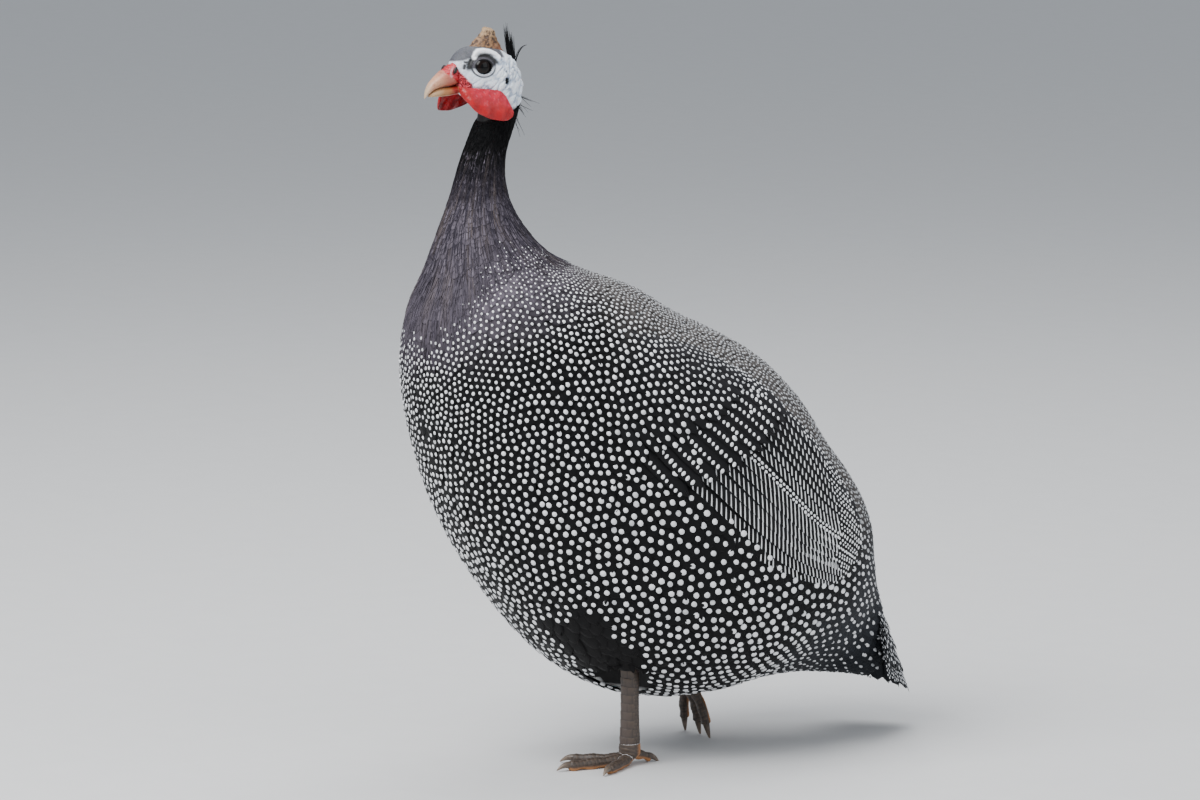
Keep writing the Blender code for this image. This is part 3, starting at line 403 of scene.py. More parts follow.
def face_colour(points, relief):
    """The face's markings as named colours mixed by smooth masks in places counted from the eyes, plus painted shade in
    the creases of cheek, ear and mouth and painted highlights on the mouth's folds.
    """
    side, ahead, up = eye_places(points)
    r, high = eye_oval(ahead, up)
    flank = ease(3.0, 6.0, np.abs(side))
    patchy = noise(points / (3.2 * MM), 9)
    fine = noise(points / (0.9 * MM), 10)
    # painted shade: the cheek's creases are tinted blue-grey, more strongly towards the rear of the face
    crease_shade = ease(0.5, 0.1, cheek_folds(points)) * (1 - ease(3.6, 6.0, up))
    rear = 0.35 + 0.5 * np.maximum(ease(-4.0, -11.0, ahead), ease(-7.0, -12.0, up))
    colour = blend(CHALK, CHALK_SHADE, np.clip(0.1 * patchy + crease_shade * rear + 0.05, 0, 0.9))
    edge = np.interp(ahead, (-16, -11, -6, 6, 12, 17, 26), (4.2, 4.6, 6.5, 5.4, 3.4, 2.4, 2.2)) + patchy * 0.5
    slate = blend(SLATE, LID_GREY * 1.5, np.clip(0.3 + 0.5 * fine, 0, 1))
    colour = blend(colour, slate, ease(-0.7, 0.7, up - edge) * ease(-17.0, -14.5, ahead) * 0.95)
    grey_front = np.exp(-(((ahead - 10.5) / 3.0) ** 2) - ((up - 1.2) / 2.4) ** 2)
    colour = blend(colour, LID_GREY * 1.6, flank * np.clip(grey_front * (0.5 + 0.7 * fine), 0, 0.8))
    blue = np.exp(-(((ahead - 7.4) / 2.0) ** 2) - ((up + 14.4) / 1.4) ** 2)
    colour = blend(colour, linear("#67758a"), flank * np.clip(blue * 1.2, 0, 0.9))
    upper = ease(-0.2, 0.25, high + 0.25 * ease(0, 6, ahead))
    colour = blend(colour, LID_GREY * (1.1 + 0.3 * fine)[..., None], flank * upper * (1 - ease(6.6, 7.2, r)))
    band = np.exp(-(((r - 7.5 - 0.25 * fine) / 1.6) ** 4)) * ease(0.0, 0.35, high + 0.4 * ease(0, 6, ahead))
    rim = np.exp(-(((r - 4.3) / 0.75) ** 4)) * (0.35 + 0.65 * ease(-0.5, 0.2, high)) + (r < 4.4)
    rim = np.maximum(rim, np.exp(-(((r - 6.2) / 0.5) ** 4)) * ease(0.2, -0.3, high) * 0.92)
    dark = np.maximum(band, rim)
    for path, width in zip(STREAKS, (1.3, 0.8, 0.95)):
        dark = np.maximum(dark, np.exp(-((path_distance(ahead, up, path) / width * (1 + 0.3 * fine)) ** 4)) * 0.95)
    colour = blend(colour, BLACK_SKIN, flank * np.clip(dark, 0, 0.98))
    white = np.exp(-((path_distance(ahead, up, BROW_PATH) / 1.3) ** 4)) * flank
    for path in CERE_STREAKS:
        white = np.maximum(white, np.exp(-((path_distance(ahead, up, path) / 0.65 * (1 + 0.4 * fine)) ** 2)) * 0.9)
    colour = blend(colour, linear("#f6f9fd"), np.clip(white * 1.2, 0, 1))
    red = mouth_red(ahead, up)
    folds = gape_folds(points)
    # painted shade and highlight: the mouth's red skin is deep red in the creases between its folds and pale pink on
    # their tops
    shaded_red_folds = blend(blend(RED_DEEP, RED_SKIN, ease(0.05, 0.5, folds)), linear("#d2606a"), ease(0.6, 1.0, folds) * 0.5)
    colour = blend(colour, shaded_red_folds, red * 0.97)
    # painted shade: the ear opening is painted black, and the small fold above it is darkened as a painted shadow
    ear_r = np.hypot((ahead - EAR[0]) / 1.9, (up - EAR[1]) / 2.1) * (1 + 0.35 * noise(points / (1.2 * MM), 8))
    crease_r = np.hypot((ahead - EAR_CREASE[0]) / 0.55, (up - EAR_CREASE[1]) / 1.2)
    colour = blend(colour, BLACK_SKIN, flank * np.maximum((1 - ease(0.7, 1.3, ear_r)) * 0.97, np.exp(-(crease_r**4)) * 0.6))
    neck_edge = -27.0 + 0.12 * (ahead + 20) ** 2 * 0.08 + patchy
    return blend(colour, NECK_SKIN, 1 - ease(neck_edge - 2.0, neck_edge + 1.5, up))


def coat_depth(t):
    """How deep the skin lies under the coat, in millimetres."""
    return 0.9 * ease(8.2, 10.0, t) + 1.5 * ease(12.0, 16.0, t)


AROUND = 352
rings_t = np.concatenate([np.linspace(0, 9.6, 205), np.linspace(9.6, TAIL_END, 60)[1:]])
turns = (np.arange(AROUND) + 0.5) * 2 * math.pi / AROUND
grid_t, grid_turn = np.meshgrid(rings_t, turns, indexing="ij")
form = trunk_point(grid_t, grid_turn)
normals = TRUNK.normal(grid_t, grid_turn)
relief = face_relief(form)
skin_points = form + normals * ((relief - coat_depth(grid_t)) * MM)[..., None]
points, faces = tube_faces(skin_points[None])
down_the_skin = np.linspace(0.01, 0.99, len(rings_t))[:, None]
unwrap = np.stack(np.broadcast_arrays(0.005 + grid_turn / (2 * math.pi) * 0.99, down_the_skin), -1)
skin = put("skin", points, faces, {"OFBake": unwrap.reshape(-1, 2)},
           {"tint": face_colour(form, relief).reshape(-1, 3)})
print("skin faces:", len(faces))

# %% [markdown]
# ## Eyes
# The eye is a dark glossy ball of which a round window shows between the lids. Its iris is a deep brown
# that hardly parts from the pupil, so the ball is coloured by the distance from its own axis.

# %% Build the eyes
EYE_RADIUS = 6.8
EYE_SIDE = 8.0
EYE_GAZE = unit(np.array([1.0, -0.10, 0.04]))


def ball(centre, radius, axis, rings=48, around=64):
    """A ball about an axis: each ring is the sine of its angle from the axis wide and the cosine along it."""
    first = unit(np.cross(axis, [0, 0, 1.0]))
    second = np.cross(axis, first)
    a = np.linspace(0.002, math.pi - 0.002, rings)[:, None, None]
    b = (np.arange(around) * 2 * math.pi / around)[None, :, None]
    return centre + radius * (np.cos(a) * axis + np.sin(a) * (np.cos(b) * first + np.sin(b) * second)), a


IRIS = linear("#120805")
PUPIL = linear("#040405")
SCLERA = linear("#0d0c0f")
eyes = []
for name, hand in (("eye_left_ball", 1), ("eye_right_ball", -1)):
    gaze = EYE_GAZE * [hand, 1, 1]
    rings, angle = ball(from_eye(hand * EYE_SIDE, 0.0, -0.6), EYE_RADIUS * MM, gaze)
    out = np.broadcast_to(np.degrees(angle), rings.shape[:2] + (1,))[..., 0]
    colour = blend(PUPIL, IRIS, ease(19, 22, out) * (1 - 0.35 * ease(28, 38, out)))
    colour = blend(colour, SCLERA, ease(38, 42, out))
    points, faces = tube_faces(rings[None])
    eyes.append(put(name, points, faces, fields={"tint": colour.reshape(-1, 3)}))
print("eyes:", len(eyes))

# %% [markdown]
# ## Casque and bill
# The casque is a bony core under rough horn, tan with brown flecks. The bill is smooth horn, pink at its
# root and pale at its tip, and the cere over the nostril is red swollen skin. Both are lofts between an
# upper and a lower line, with the knobs, folds and the nostril pressed in along the normals.

# %% Build the casque and the bill
CASQUE_STATIONS = (
    (4.8, 5.4, -23.9, 0.0, 7.3, 2.0),
    (3.6, 10.4, -22.2, 5.6, 6.9, 2.0),
    (1.0, 13.6, -18.8, 9.6, 5.9, 2.0),
    (-1.8, 16.4, -16.6, 13.4, 4.9, 2.0),
    (-4.4, 19.2, -15.3, 16.8, 4.3, 2.0),
    (-6.2, 21.8, -14.2, 19.8, 3.5, 2.0),
    (-7.8, 23.4, -12.0, 22.4, 1.6, 2.0),
)
BILL_UPPER = (
    (12.6, 2.6, 9.8, -10.6, 6.4, 2.1),
    (17.0, 1.9, 14.6, -11.9, 7.2, 2.1),
    (21.0, -0.7, 18.6, -12.5, 6.5, 2.1),
    (24.9, -3.7, 22.4, -12.8, 5.6, 2.1),
    (28.7, -6.9, 26.2, -13.5, 4.6, 2.1),
    (32.4, -10.6, 29.8, -15.0, 3.4, 2.0),
    (34.6, -15.0, 32.6, -17.2, 2.1, 2.0),
    (35.3, -18.4, 34.4, -19.0, 1.0, 2.0),
    (35.2, -19.7, 34.9, -19.8, 0.4, 2.0),
)
BILL_LOWER = (
    (10.0, -11.9, 9.2, -15.6, 5.2, 2.1),
    (14.4, -12.2, 13.4, -17.6, 6.1, 2.1),
    (19.0, -12.8, 18.2, -18.5, 5.4, 2.1),
    (23.4, -13.2, 23.0, -18.8, 4.4, 2.1),
    (27.8, -14.3, 27.4, -18.9, 3.3, 2.0),
    (31.4, -16.6, 31.2, -18.9, 1.6, 2.0),
    (32.6, -18.3, 32.6, -18.7, 0.5, 2.0),
)
NOSTRIL = (17.1, -2.5)


def head_loft(rows, steps, around):
    """A loft from rows counted from between the eyes, with the outward direction at each point."""
    rows = np.array(rows, float)
    rows[:, [0, 2]] += EYE_AHEAD / MM
    rows[:, [1, 3]] += EYE_UP / MM
    loft = Bed(lambda t, turn: loft_point(rows, t, turn))
    t, turn = np.meshgrid(np.linspace(0, len(rows) - 1, steps), (np.arange(around) + 0.5) * 2 * math.pi / around,
                          indexing="ij")
    return loft.point(t, turn), loft.normal(np.clip(t, 0.02, len(rows) - 1.02), turn), t, turn


rings, out, t, turn = head_loft(CASQUE_STATIONS, 80, 84)
knobs = 0.62 * noise(rings / (2.6 * MM), 21) + 0.34 * noise(rings / (1.2 * MM), 22) + 0.12 * noise(rings / (0.6 * MM), 23)
knobs *= ease(0.3, 1.4, t)
side, ahead, up = eye_places(rings)
# brown flecks of the horn, laid in the low places between the knobs, so they also paint shade into the hollows
flecks = ease(-0.05, 0.4, noise(rings / (1.5 * MM), 24) + 0.5 * noise(rings / (0.7 * MM), 25) + 0.05 - knobs * 0.9)
flecks *= (1 - 0.6 * ease(19.5, 22.5, up)) * ease(8.0, 11.5, up + knobs)
horn = blend(linear("#8a6644"), linear("#a88a66"), ease(14.0, 22.0, up + noise(rings / (4 * MM), 26)))
horn = blend(horn, linear("#a98a66"), 0.8 * (1 - ease(8.0, 12.0, up)) * (1 - ease(-6.0, -12.0, ahead)))
horn = blend(horn, linear("#33211a"), flecks * 0.88)
horn = blend(horn, linear("#8f5a3e"), 0.85 * ease(-8.0, -14.0, ahead) * (1 - ease(9.0, 14.0, up + knobs * 2)))
rings = rings + out * (knobs * MM)[..., None]
points, faces = tube_faces(rings[None])
casque = put("casque_horn", points, faces, fields={"tint": horn.reshape(-1, 3)})

rings, out, t, turn = head_loft(BILL_UPPER, 130, 104)
side, ahead, up = eye_places(rings)
cere_edge = 22.8 - np.clip(-3.5 - up, 0, None) * 1.26
cere = ease(-0.9, 0.7, cere_edge - ahead)
x = (ahead - NOSTRIL[0]) + 0.45 * (up - NOSTRIL[1])
pit = np.hypot(x / 1.25, (up - NOSTRIL[1]) / 2.1)
flank = ease(3.9, 5.3, np.abs(side))
folds = np.abs(np.sin((ahead * 0.8 - up * 0.9 + noise(rings / (4 * MM), 31) * 1.3) * 1.2)) * 0.55
bulge = cere * (0.35 + folds * ease(1.1, 2.2, pit) + 0.12 * noise(rings / (0.8 * MM), 32))
rim = 0.55 * np.exp(-(((pit - 1.35) / 0.35) ** 2)) - 2.6 * (1 - ease(0.6, 1.2, pit))
scratches = noise(rings / (np.array([6.0, 0.9, 2.0]) * MM), 33) * 0.035 * (1 - cere)
rings = rings + out * ((bulge + flank * rim + scratches) * MM)[..., None]
horn = blend(linear("#b0604f"), linear("#c69374"), ease(19.0, 30.0, ahead - 0.3 * (up + 8)))
horn = blend(horn, linear("#b9a68c"), ease(30.0, 35.0, ahead) * 0.8)
horn = blend(horn, linear("#8c4f40"), 0.4 * ease(0.1, 0.7, noise(rings / (np.array([5.0, 1.6, 1.6]) * MM), 34)))
# painted shade: the cere is deep red in the troughs where its folds lie low
red = blend(RED_SKIN, RED_DEEP, np.clip(0.55 - folds * 1.1, 0, 0.8))
horn = blend(horn, red, cere * 0.95)
horn = blend(horn, linear("#dcb6bb"), flank * 0.75 * np.exp(-(((pit - 1.75) / 0.35) ** 2)) * ease(-1.0, 1.0, x))
# painted shade: the nostril's pit is painted nearly black
horn = blend(horn, linear("#0d0305"), flank * (1 - ease(0.85, 1.3, pit)))
points, faces = tube_faces(rings[None])
bill_top = put("bill_upper_horn", points, faces, fields={"tint": horn.reshape(-1, 3)})

rings, out, t, turn = head_loft(BILL_LOWER, 80, 72)
side, ahead, up = eye_places(rings)
horn = blend(linear("#a0683a"), linear("#bd9a72"), ease(20.0, 30.0, ahead + noise(rings / (3 * MM), 35) * 2))
horn = blend(horn, linear("#8c1712"), 1 - ease(15.0, 21.5, ahead + noise(rings / (2.5 * MM), 36) * 1.5))
horn = blend(horn, linear("#b98a5c"), 0.9 * np.exp(-(((ahead - 13.2) / 1.0) ** 2)))
rings = rings + out * (noise(rings / (1.2 * MM), 37) * 0.05 * MM)[..., None]
points, faces = tube_faces(rings[None])
bill_low = put("bill_lower_horn", points, faces, fields={"tint": horn.reshape(-1, 3)})
print("casque, bill faces:", len(casque.data.polygons), len(bill_top.data.polygons), len(bill_low.data.polygons))

# %% [markdown]
# ## Wattles
# A wattle is a cupped leaf of waxy red skin that hangs from the corner of the mouth. It is built as a flat
# tube from its root line to its free edge, with soft folds across it and a fine grain pressed in.

# %% Build the wattles
LEFT_WATTLE = (
    (16.0, -12.4, 9.6, 15.4, -17.0, 10.6, 1.6),
    (12.8, -12.6, 10.9, 13.6, -20.8, 13.8, 3.2),
    (8.0, -13.2, 12.0, 10.2, -25.6, 16.2, 3.4),
    (2.0, -13.9, 12.8, 5.2, -29.6, 18.2, 3.2),
    (-4.5, -14.6, 13.4, -1.0, -32.4, 19.3, 3.0),
    (-10.5, -15.6, 14.0, -8.0, -33.8, 20.0, 2.8),
    (-13.8, -18.6, 15.0, -12.8, -33.8, 20.4, 2.6),
    (-16.0, -23.6, 17.0, -16.2, -31.8, 20.2, 2.0),
    (-17.2, -27.0, 18.4, -17.5, -29.4, 19.4, 0.9),
)
RIGHT_WATTLE = (
    (16.6, -12.6, 10.4, 16.8, -16.5, 11.2, 1.6),
    (14.9, -13.0, 10.9, 17.8, -23.5, 14.6, 3.4),
    (11.5, -13.2, 11.6, 16.2, -28.8, 17.6, 3.8),
    (7.0, -13.8, 12.2, 9.5, -29.8, 18.8, 3.4),
    (2.0, -14.4, 12.8, 2.5, -29.0, 19.2, 3.0),
    (-3.5, -15.0, 13.2, -3.6, -26.6, 18.8, 2.8),
    (-8.0, -16.8, 13.8, -8.4, -23.6, 17.4, 2.2),
    (-10.8, -18.8, 14.4, -11.0, -21.0, 15.4, 0.9),
)
WATTLE_CUP = 1.5
WATTLE_FOLD = 0.7


def wattle_rings(rows, hand, steps=120, around=96):
    """Rings from the front of the wattle to its tip: share runs 1 at the root to 0 at the free edge and back,
    and the thickness, the cup and a wave along the edge push each point sideways."""
    rows = np.array(rows, float)
    line = spline(rows, np.linspace(0, len(rows) - 1, steps))
    top_ahead, top_up, top_side, low_ahead, low_up, low_side, thick = (column[:, None] for column in line.T)
    turn = (np.arange(around) + 0.5) * 2 * math.pi / around
    share = (1 + np.cos(turn)) / 2
    bulge = np.sign(np.sin(turn)) * np.abs(np.sin(turn)) ** 0.7
    ahead = low_ahead + (top_ahead - low_ahead) * share
    up = low_up + (top_up - low_up) * share
    length = np.linspace(0, 1, steps)[:, None]
    cup = WATTLE_CUP * np.sin(math.pi * share) * np.sin(math.pi * length)
    wave = WATTLE_FOLD * np.sin(ahead * 0.55 + up * 0.2) * (1 - share)
    place_now = from_eye(hand * (low_side + (top_side - low_side) * share), ahead, up)
    grain = 0.16 * noise(place_now / (1.3 * MM), 41) + 0.3 * noise(place_now / (4.5 * MM), 42)
    grain += 0.22 * np.sin((ahead * 0.5 + up + noise(place_now / (6 * MM), 43) * 2.5) * 1.1) * ease(0.25, 0.9, share)
    side = low_side + (top_side - low_side) * share + bulge * (thick / 2 + grain * 0.8) + cup + wave
    return from_eye(hand * side, ahead, up), share, grain, np.broadcast_to(length, ahead.shape)


wattles = []
for name, rows, hand in (("wattle_left_skin", LEFT_WATTLE, 1), ("wattle_right_skin", RIGHT_WATTLE, -1)):
    rings, share, grain, length = wattle_rings(rows, hand)
    # the pale pink towards the root is the skin's own colour, painted strong on the near wattle as painted light and
    # faint on the far one as painted shade; the speckles are painted highlights
    pale = ease(0.25, 0.85, share + 0.25 * noise(rings / (5 * MM), 44)) * ease(0.1, 0.3, length)
    highlight_speckles = ease(0.25, 0.75, noise(rings / (1.5 * MM), 45) + 0.5 * noise(rings / (0.7 * MM), 46))
    colour = blend(linear("#b2000c"), linear("#cc1c3a"), pale * (0.9 if hand > 0 else 0.1))
    colour = blend(colour, linear("#e58a96"), highlight_speckles * pale * (0.45 if hand > 0 else 0.0))
    # painted shade: darker where the grain lies low, and more so on the far wattle
    colour = blend(colour, linear("#6b0208"), np.clip(0.35 - grain * 1.2, 0, 0.5) * (0.8 if hand > 0 else 1.8))
    points, faces = tube_faces(rings[None])
    wattles.append(put(name, points, faces, fields={"tint": colour.reshape(-1, 3)}))

print("wattle faces:", [len(piece.data.polygons) for piece in wattles])

# %% [markdown]
# ## Thighs, and the way out for the legs
# The shanks come down out of the belly between its feathers. The skin is opened round each shank along a path
# that widens downwards, and joined with the thighs that carry the shanks inside.

# %% Open the skin round the legs
DARK_DOWN = linear("#0c0b0c")
LEFT_THIGH = ((55, 32, 172, 10.0), (53, 26, 157, 24.0), (50, 20, 137, 31.0), (45, 12, 115, 29.0),
              (39, 3, 95, 21.0), (35, -2, 83, 12.0), (34, -3, 77, 7.5))
RIGHT_THIGH = ((-52, -2, 184, 10.0), (-51, -6, 169, 24.0), (-48, -14, 149, 31.0), (-44, -24, 129, 28.0),
               (-40, -33, 111, 20.0), (-38, -39, 99, 12.0), (-37, -41, 93, 7.5))
LEFT_HOLLOW = ((34, -3, 86, 12.0), (34, -3, 74, 19.0), (34, -2, 58, 24.0), (34, 2, 30, 33.0))
RIGHT_HOLLOW = ((-38, -38, 101, 10.0), (-38, -48, 84, 16.0), (-37, -62, 66, 20.0), (-35, -84, 34, 24.0))


def limb_bed(rows, number, inward=False):
    """A round limb along a path: t counts the path's rows and turn goes round it. With inward, turn runs the
    other way, so the outward side of the bed looks at the path, as the wall of an opening does."""
    rows = np.array(rows, float)
    sign = -1 if inward else 1

    def point(t, turn):
        t, turn = np.broadcast_arrays(np.asarray(t, float), np.asarray(turn, float))
        inside = np.clip(t, 0, len(rows) - 1)
        low, high = np.clip(inside - 0.05, 0, len(rows) - 1), np.clip(inside + 0.05, 0, len(rows) - 1)
        way = (spline(rows, high) - spline(rows, low)) / (high - low)[..., None]
        here = spline(rows, inside) + way * (t - inside)[..., None]
        along = unit(place(way[..., 0], way[..., 1], way[..., 2]) - place(0, 0, 0))
        side = unit(np.cross(along, [1.0, 0, 0]))
        other = np.cross(along, side)
        ring = np.cos(turn)[..., None] * side + sign * np.sin(turn)[..., None] * other
        return place(here[..., 0], here[..., 1], here[..., 2]) + ring * np.maximum(here[..., 3:], 2.0) * MM

    return Bed(point, lambda t, turn: (0.55 + 0.1 * number + 0.08 * (turn / (2 * math.pi) % 1.0), 0.91 + 0.08 * t / len(rows)))


THIGHS = [limb_bed(LEFT_THIGH, 0), limb_bed(RIGHT_THIGH, 1)]
HOLLOWS = [limb_bed(LEFT_HOLLOW, 2), limb_bed(RIGHT_HOLLOW, 3)]


def limb_solid(name, bed, rows, steps, around, sink=0.0):
    t, turn = np.meshgrid(np.linspace(0, rows - 1, steps), np.arange(around) * 2 * math.pi / around, indexing="ij")
    rings = bed.point(t, turn) - bed.normal(np.clip(t, 0.02, rows - 1.02), turn) * sink * MM
    points, faces = tube_faces(rings[None])
    colour = np.tile(DARK_DOWN, (len(points), 1))
    u, v = bed.unwrap(t, turn)
    return put(name, points, faces, {"OFBake": np.stack([u, v], -1).reshape(-1, 2)}, {"tint": colour})


def combine(piece, others, operation):
    """Applies one Boolean step after another, each by the solver for closed surfaces, and drops the others."""
    for other in others:
        step = piece.modifiers.new(operation, "BOOLEAN")
        step.operation, step.solver, step.object = operation, "MANIFOLD", other
    depsgraph = bpy.context.evaluated_depsgraph_get()
    mesh = bpy.data.meshes.new_from_object(piece.evaluated_get(depsgraph))
    piece.modifiers.clear()
    old, piece.data = piece.data, mesh
    bpy.data.meshes.remove(old)
    mesh.name = piece.name
    for other in others:
        spare = other.data
        bpy.data.objects.remove(other)
        bpy.data.meshes.remove(spare)
    return piece


combine(skin, [limb_solid(f"opening_{n}", bed, 4, 24, 32, -0.5) for n, bed in enumerate(HOLLOWS)], "DIFFERENCE")
combine(skin, [limb_solid(f"thigh_{n}", bed, 7, 30, 36, 0.6) for n, bed in enumerate(THIGHS)], "UNION")
print("skin after the legs' openings:", len(skin.data.polygons), [a.name for a in skin.data.attributes])


def in_opening(points, depth):
    """Whether points lie inside a leg's opening by more than a depth in millimetres: their distance from the
    nearest of many stations on its path, against the path's radius there."""
    inside = np.zeros(points.shape[:-1], bool)
    for rows in (LEFT_HOLLOW, RIGHT_HOLLOW):
        line = spline(np.array(rows, float), np.linspace(0.25, 3, 40))
        middle = place(line[:, 0], line[:, 1], line[:, 2])
        far = np.linalg.norm(points[..., None, :] - middle, axis=-1) / MM
        inside |= (far < line[:, 3] - depth).any(-1)
    return inside


# %% [markdown]
# ## How a feather lies
# A contour feather is a thin curved vane. Its root is low, its tip rests on the feathers behind it, and its
# edges curl down round its neighbours. Each vane follows a straight line in the body's own t and turn, so it
# hugs the form by itself. A vane knows its place on the bed for every share s of its length and every share
# w of its half width, and spots and bars are laid with the same rule, a little higher.

# %% Vanes on a bed
class Vanes:
    """A crowd of vanes on one bed: roots, tips, half widths and lifts, one number a vane in each array."""

    def __init__(self, bed, start, end, half, low, high, camber=0.5, tilt=0.0, thick=0.22, blunt=0.45):
        count = len(half)
        self.bed, self.start, self.end = bed, np.asarray(start, float), np.asarray(end, float)
        self.half, self.low, self.high, self.camber, self.tilt, self.thick, self.blunt = (
            np.broadcast_to(np.asarray(v, float), (count,)).copy() for v in (half, low, high, camber, tilt, thick, blunt))
        self.shade = np.zeros(count)
        s = np.full((count, 1), 0.5)
        t, turn = self.middle(s)
        along, across, normal = self.frame(t, turn)
        step = self.bed.point(self.start[:, 0], self.start[:, 1]) - self.bed.point(self.end[:, 0], self.end[:, 1])
        self.length = np.linalg.norm(step, axis=-1) / MM
        self.mid = self.bed.point(t, turn)[:, 0]
        self.along, self.across, self.normal = along[:, 0], across[:, 0], normal[:, 0]

    def middle(self, s):
        line = self.start[:, None] + (self.end - self.start)[:, None] * s[..., None]
        return line[..., 0], line[..., 1]

    def frame(self, t, turn):
        """Along is the way to the tip on the bed, the normal is out of it and across is their cross product."""
        slope_t, slope_turn = self.bed.slopes(t, turn)
        way = self.end - self.start
        along = unit(slope_t * way[:, None, :1] + slope_turn * way[:, None, 1:])
        normal = unit(np.cross(slope_turn, slope_t))
        return along, np.cross(normal, along), normal

    def outline(self, s):
        """The share of the half width at s: it grows from the root and closes in a rounded tip."""
        body = 0.55 + 0.45 * np.clip(s / 0.5, 0, 1)
        blunt = self.blunt[:, None]
        tip = np.clip((s - 1 + blunt) / blunt, 0, 1)
        return body * np.sqrt(np.clip(1 - tip**2.4, 0.0015, 1))

    def lift(self, s, w):
        """Millimetres over the bed: rising from root to tip, with both edges curled down and one side tilted."""
        low, high, camber, tilt = (v[:, None] for v in (self.low, self.high, self.camber, self.tilt))
        return low + (high - low) * s - camber * w**2 + tilt * w

    def points(self, s, w, over=0.0):
        """Points at shares s and w, both given vane by vane, lifted over the vane's top by over millimetres.
        A step across is turned into steps of t and turn by the slopes of the bed there."""
        t, turn = self.middle(s)
        slope_t, slope_turn = self.bed.slopes(t, turn)
        along, across, normal = self.frame(t, turn)
        e, f, g = (np.sum(a * b, -1) for a, b in ((slope_t, slope_t), (slope_t, slope_turn), (slope_turn, slope_turn)))
        p, q = np.sum(across * slope_t, -1), np.sum(across * slope_turn, -1)
        det = e * g - f * f
        reach = w * self.half[:, None] * MM
        t = t + (g * p - f * q) / det * reach
        turn = turn + (e * q - f * p) / det * reach
        out = self.bed.normal(t, turn)
        return self.bed.point(t, turn), out, (self.lift(s, w) + over)[..., None] * MM

    def rings(self, s_shares, w_shares, seed=0, ragged=0.05):
        """Closed slabs: each ring runs over the top from edge to edge and back underneath."""
        rng = np.random.default_rng(seed)
        count, steps, wide = len(self.half), len(s_shares), len(w_shares)
        s = np.broadcast_to(np.asarray(s_shares)[None, :, None], (count, steps, wide))
        w = np.asarray(w_shares)[None, None, :] * self.outline(s.reshape(count, -1)).reshape(s.shape)
        w = w * (1 + ragged * rng.uniform(-1, 1, w.shape))
        s = s + ragged * rng.uniform(-1, 1, w.shape) * (s > 0.7) * 0.7
        base, out, lift = self.points(s.reshape(count, -1), w.reshape(count, -1))
        base, out, lift = (v.reshape(count, steps, wide, -1) for v in (base, out, lift))
        edge = np.clip(1.15 - np.abs(np.asarray(w_shares)), 0.3, 1)[None, None, :, None]
        thick = self.thick[:, None, None, None] * MM * edge
        top, low = base + out * lift, base + out * (lift - thick)
        lie = np.stack([np.broadcast_to(np.asarray(w_shares), s.shape) * self.half[:, None, None],
                        s * self.length[:, None, None]], -1) * MM
        lie = np.concatenate([lie, lie[:, :, ::-1]], 2)
        return np.concatenate([top, low[:, :, ::-1]], 2), lie

    def root_patch(self):
        """The place of each vane's root on the skin's unwrap."""
        u, v = self.bed.unwrap(self.start[:, 0], self.start[:, 1])
        return np.stack([0.004 + 0.992 * u, 0.004 + 0.992 * v], -1)

    def pick(self, index):
        """The same vanes, listed once for each entry of index."""
        chosen = Vanes.__new__(Vanes)
        for key, value in self.__dict__.items():
            chosen.__dict__[key] = value[index] if isinstance(value, np.ndarray) else value
        return chosen


PATCH = 0.003


def patches(root, steps, around):
    """Bake places for tubes: a small square a tube, centred on the place of its root on the skin's unwrap."""
    a, b = np.meshgrid(np.linspace(-0.5, 0.5, steps), np.linspace(-0.5, 0.5, around), indexing="ij")
    return (root[:, None, None] + np.stack([a, b], -1)[None] * PATCH).reshape(-1, 2)


def vane_piece(name, crowd, s_shares, w_shares, tint, seed=0, ragged=0.05):
    """One joined mesh of many vanes, with its lie map, its bake map and one colour a vane."""
    rings, lie = crowd.rings(s_shares, w_shares, seed, ragged)
    points, faces = tube_faces(rings)
    count, steps, around = rings.shape[:3]
    bake = patches(crowd.root_patch(), steps, around)
    colour = np.broadcast_to(tint[:, None, None], (count, steps, around, 3))
    piece = put(name, points, faces, {"lie": lie.reshape(-1, 2), "OFBake": bake}, {"tint": colour.reshape(-1, 3)})
    print(name, "vanes:", count, "triangles:", 2 * len(faces))
    return piece


# %% [markdown]
# ## Rows of body feathers
# Body feathers grow in staggered rows, and each leaves only its tip to be seen. The rows follow t, so they
# stand closer on the back than on the belly, as on the bird. On the lower neck they are small and lilac grey,
# on the back grey, and on breast, flanks and belly black.

# %% Lay the body feathers
BLACK_VANE = linear("#08080a")
GREY_VANE = linear("#4b4745")
LILAC_VANE = linear("#57515a")
SLATE_VANE = linear("#24272c")
WING_LOW = ((17.3, 79.0), (17.8, 85.0), (18.4, 91.0), (19.2, 95.0), (19.9, 95.0), (20.7, 92.0), (22.7, 87.0), (23.4, 78.0))
WING_HIGH = ((17.3, 72.0), (17.8, 60.0), (18.4, 50.0), (19.2, 43.0), (20.7, 39.0), (22.4, 37.0), (23.4, 52.0))


def edge_at(rows, t):
    rows = np.array(rows)
    return np.interp(t, rows[:, 0], rows[:, 1])


def under_wing(t, turn, margin=0.0):
    """Whether a place lies under the folded wing of its side, by more than a margin in degrees."""
    degrees = np.abs(np.degrees((turn + math.pi) % (2 * math.pi) - math.pi))
    inside = (degrees < edge_at(WING_LOW, t) - margin) & (degrees > edge_at(WING_HIGH, t) + margin)
    return inside & (t > 17.3) & (t < 23.4)


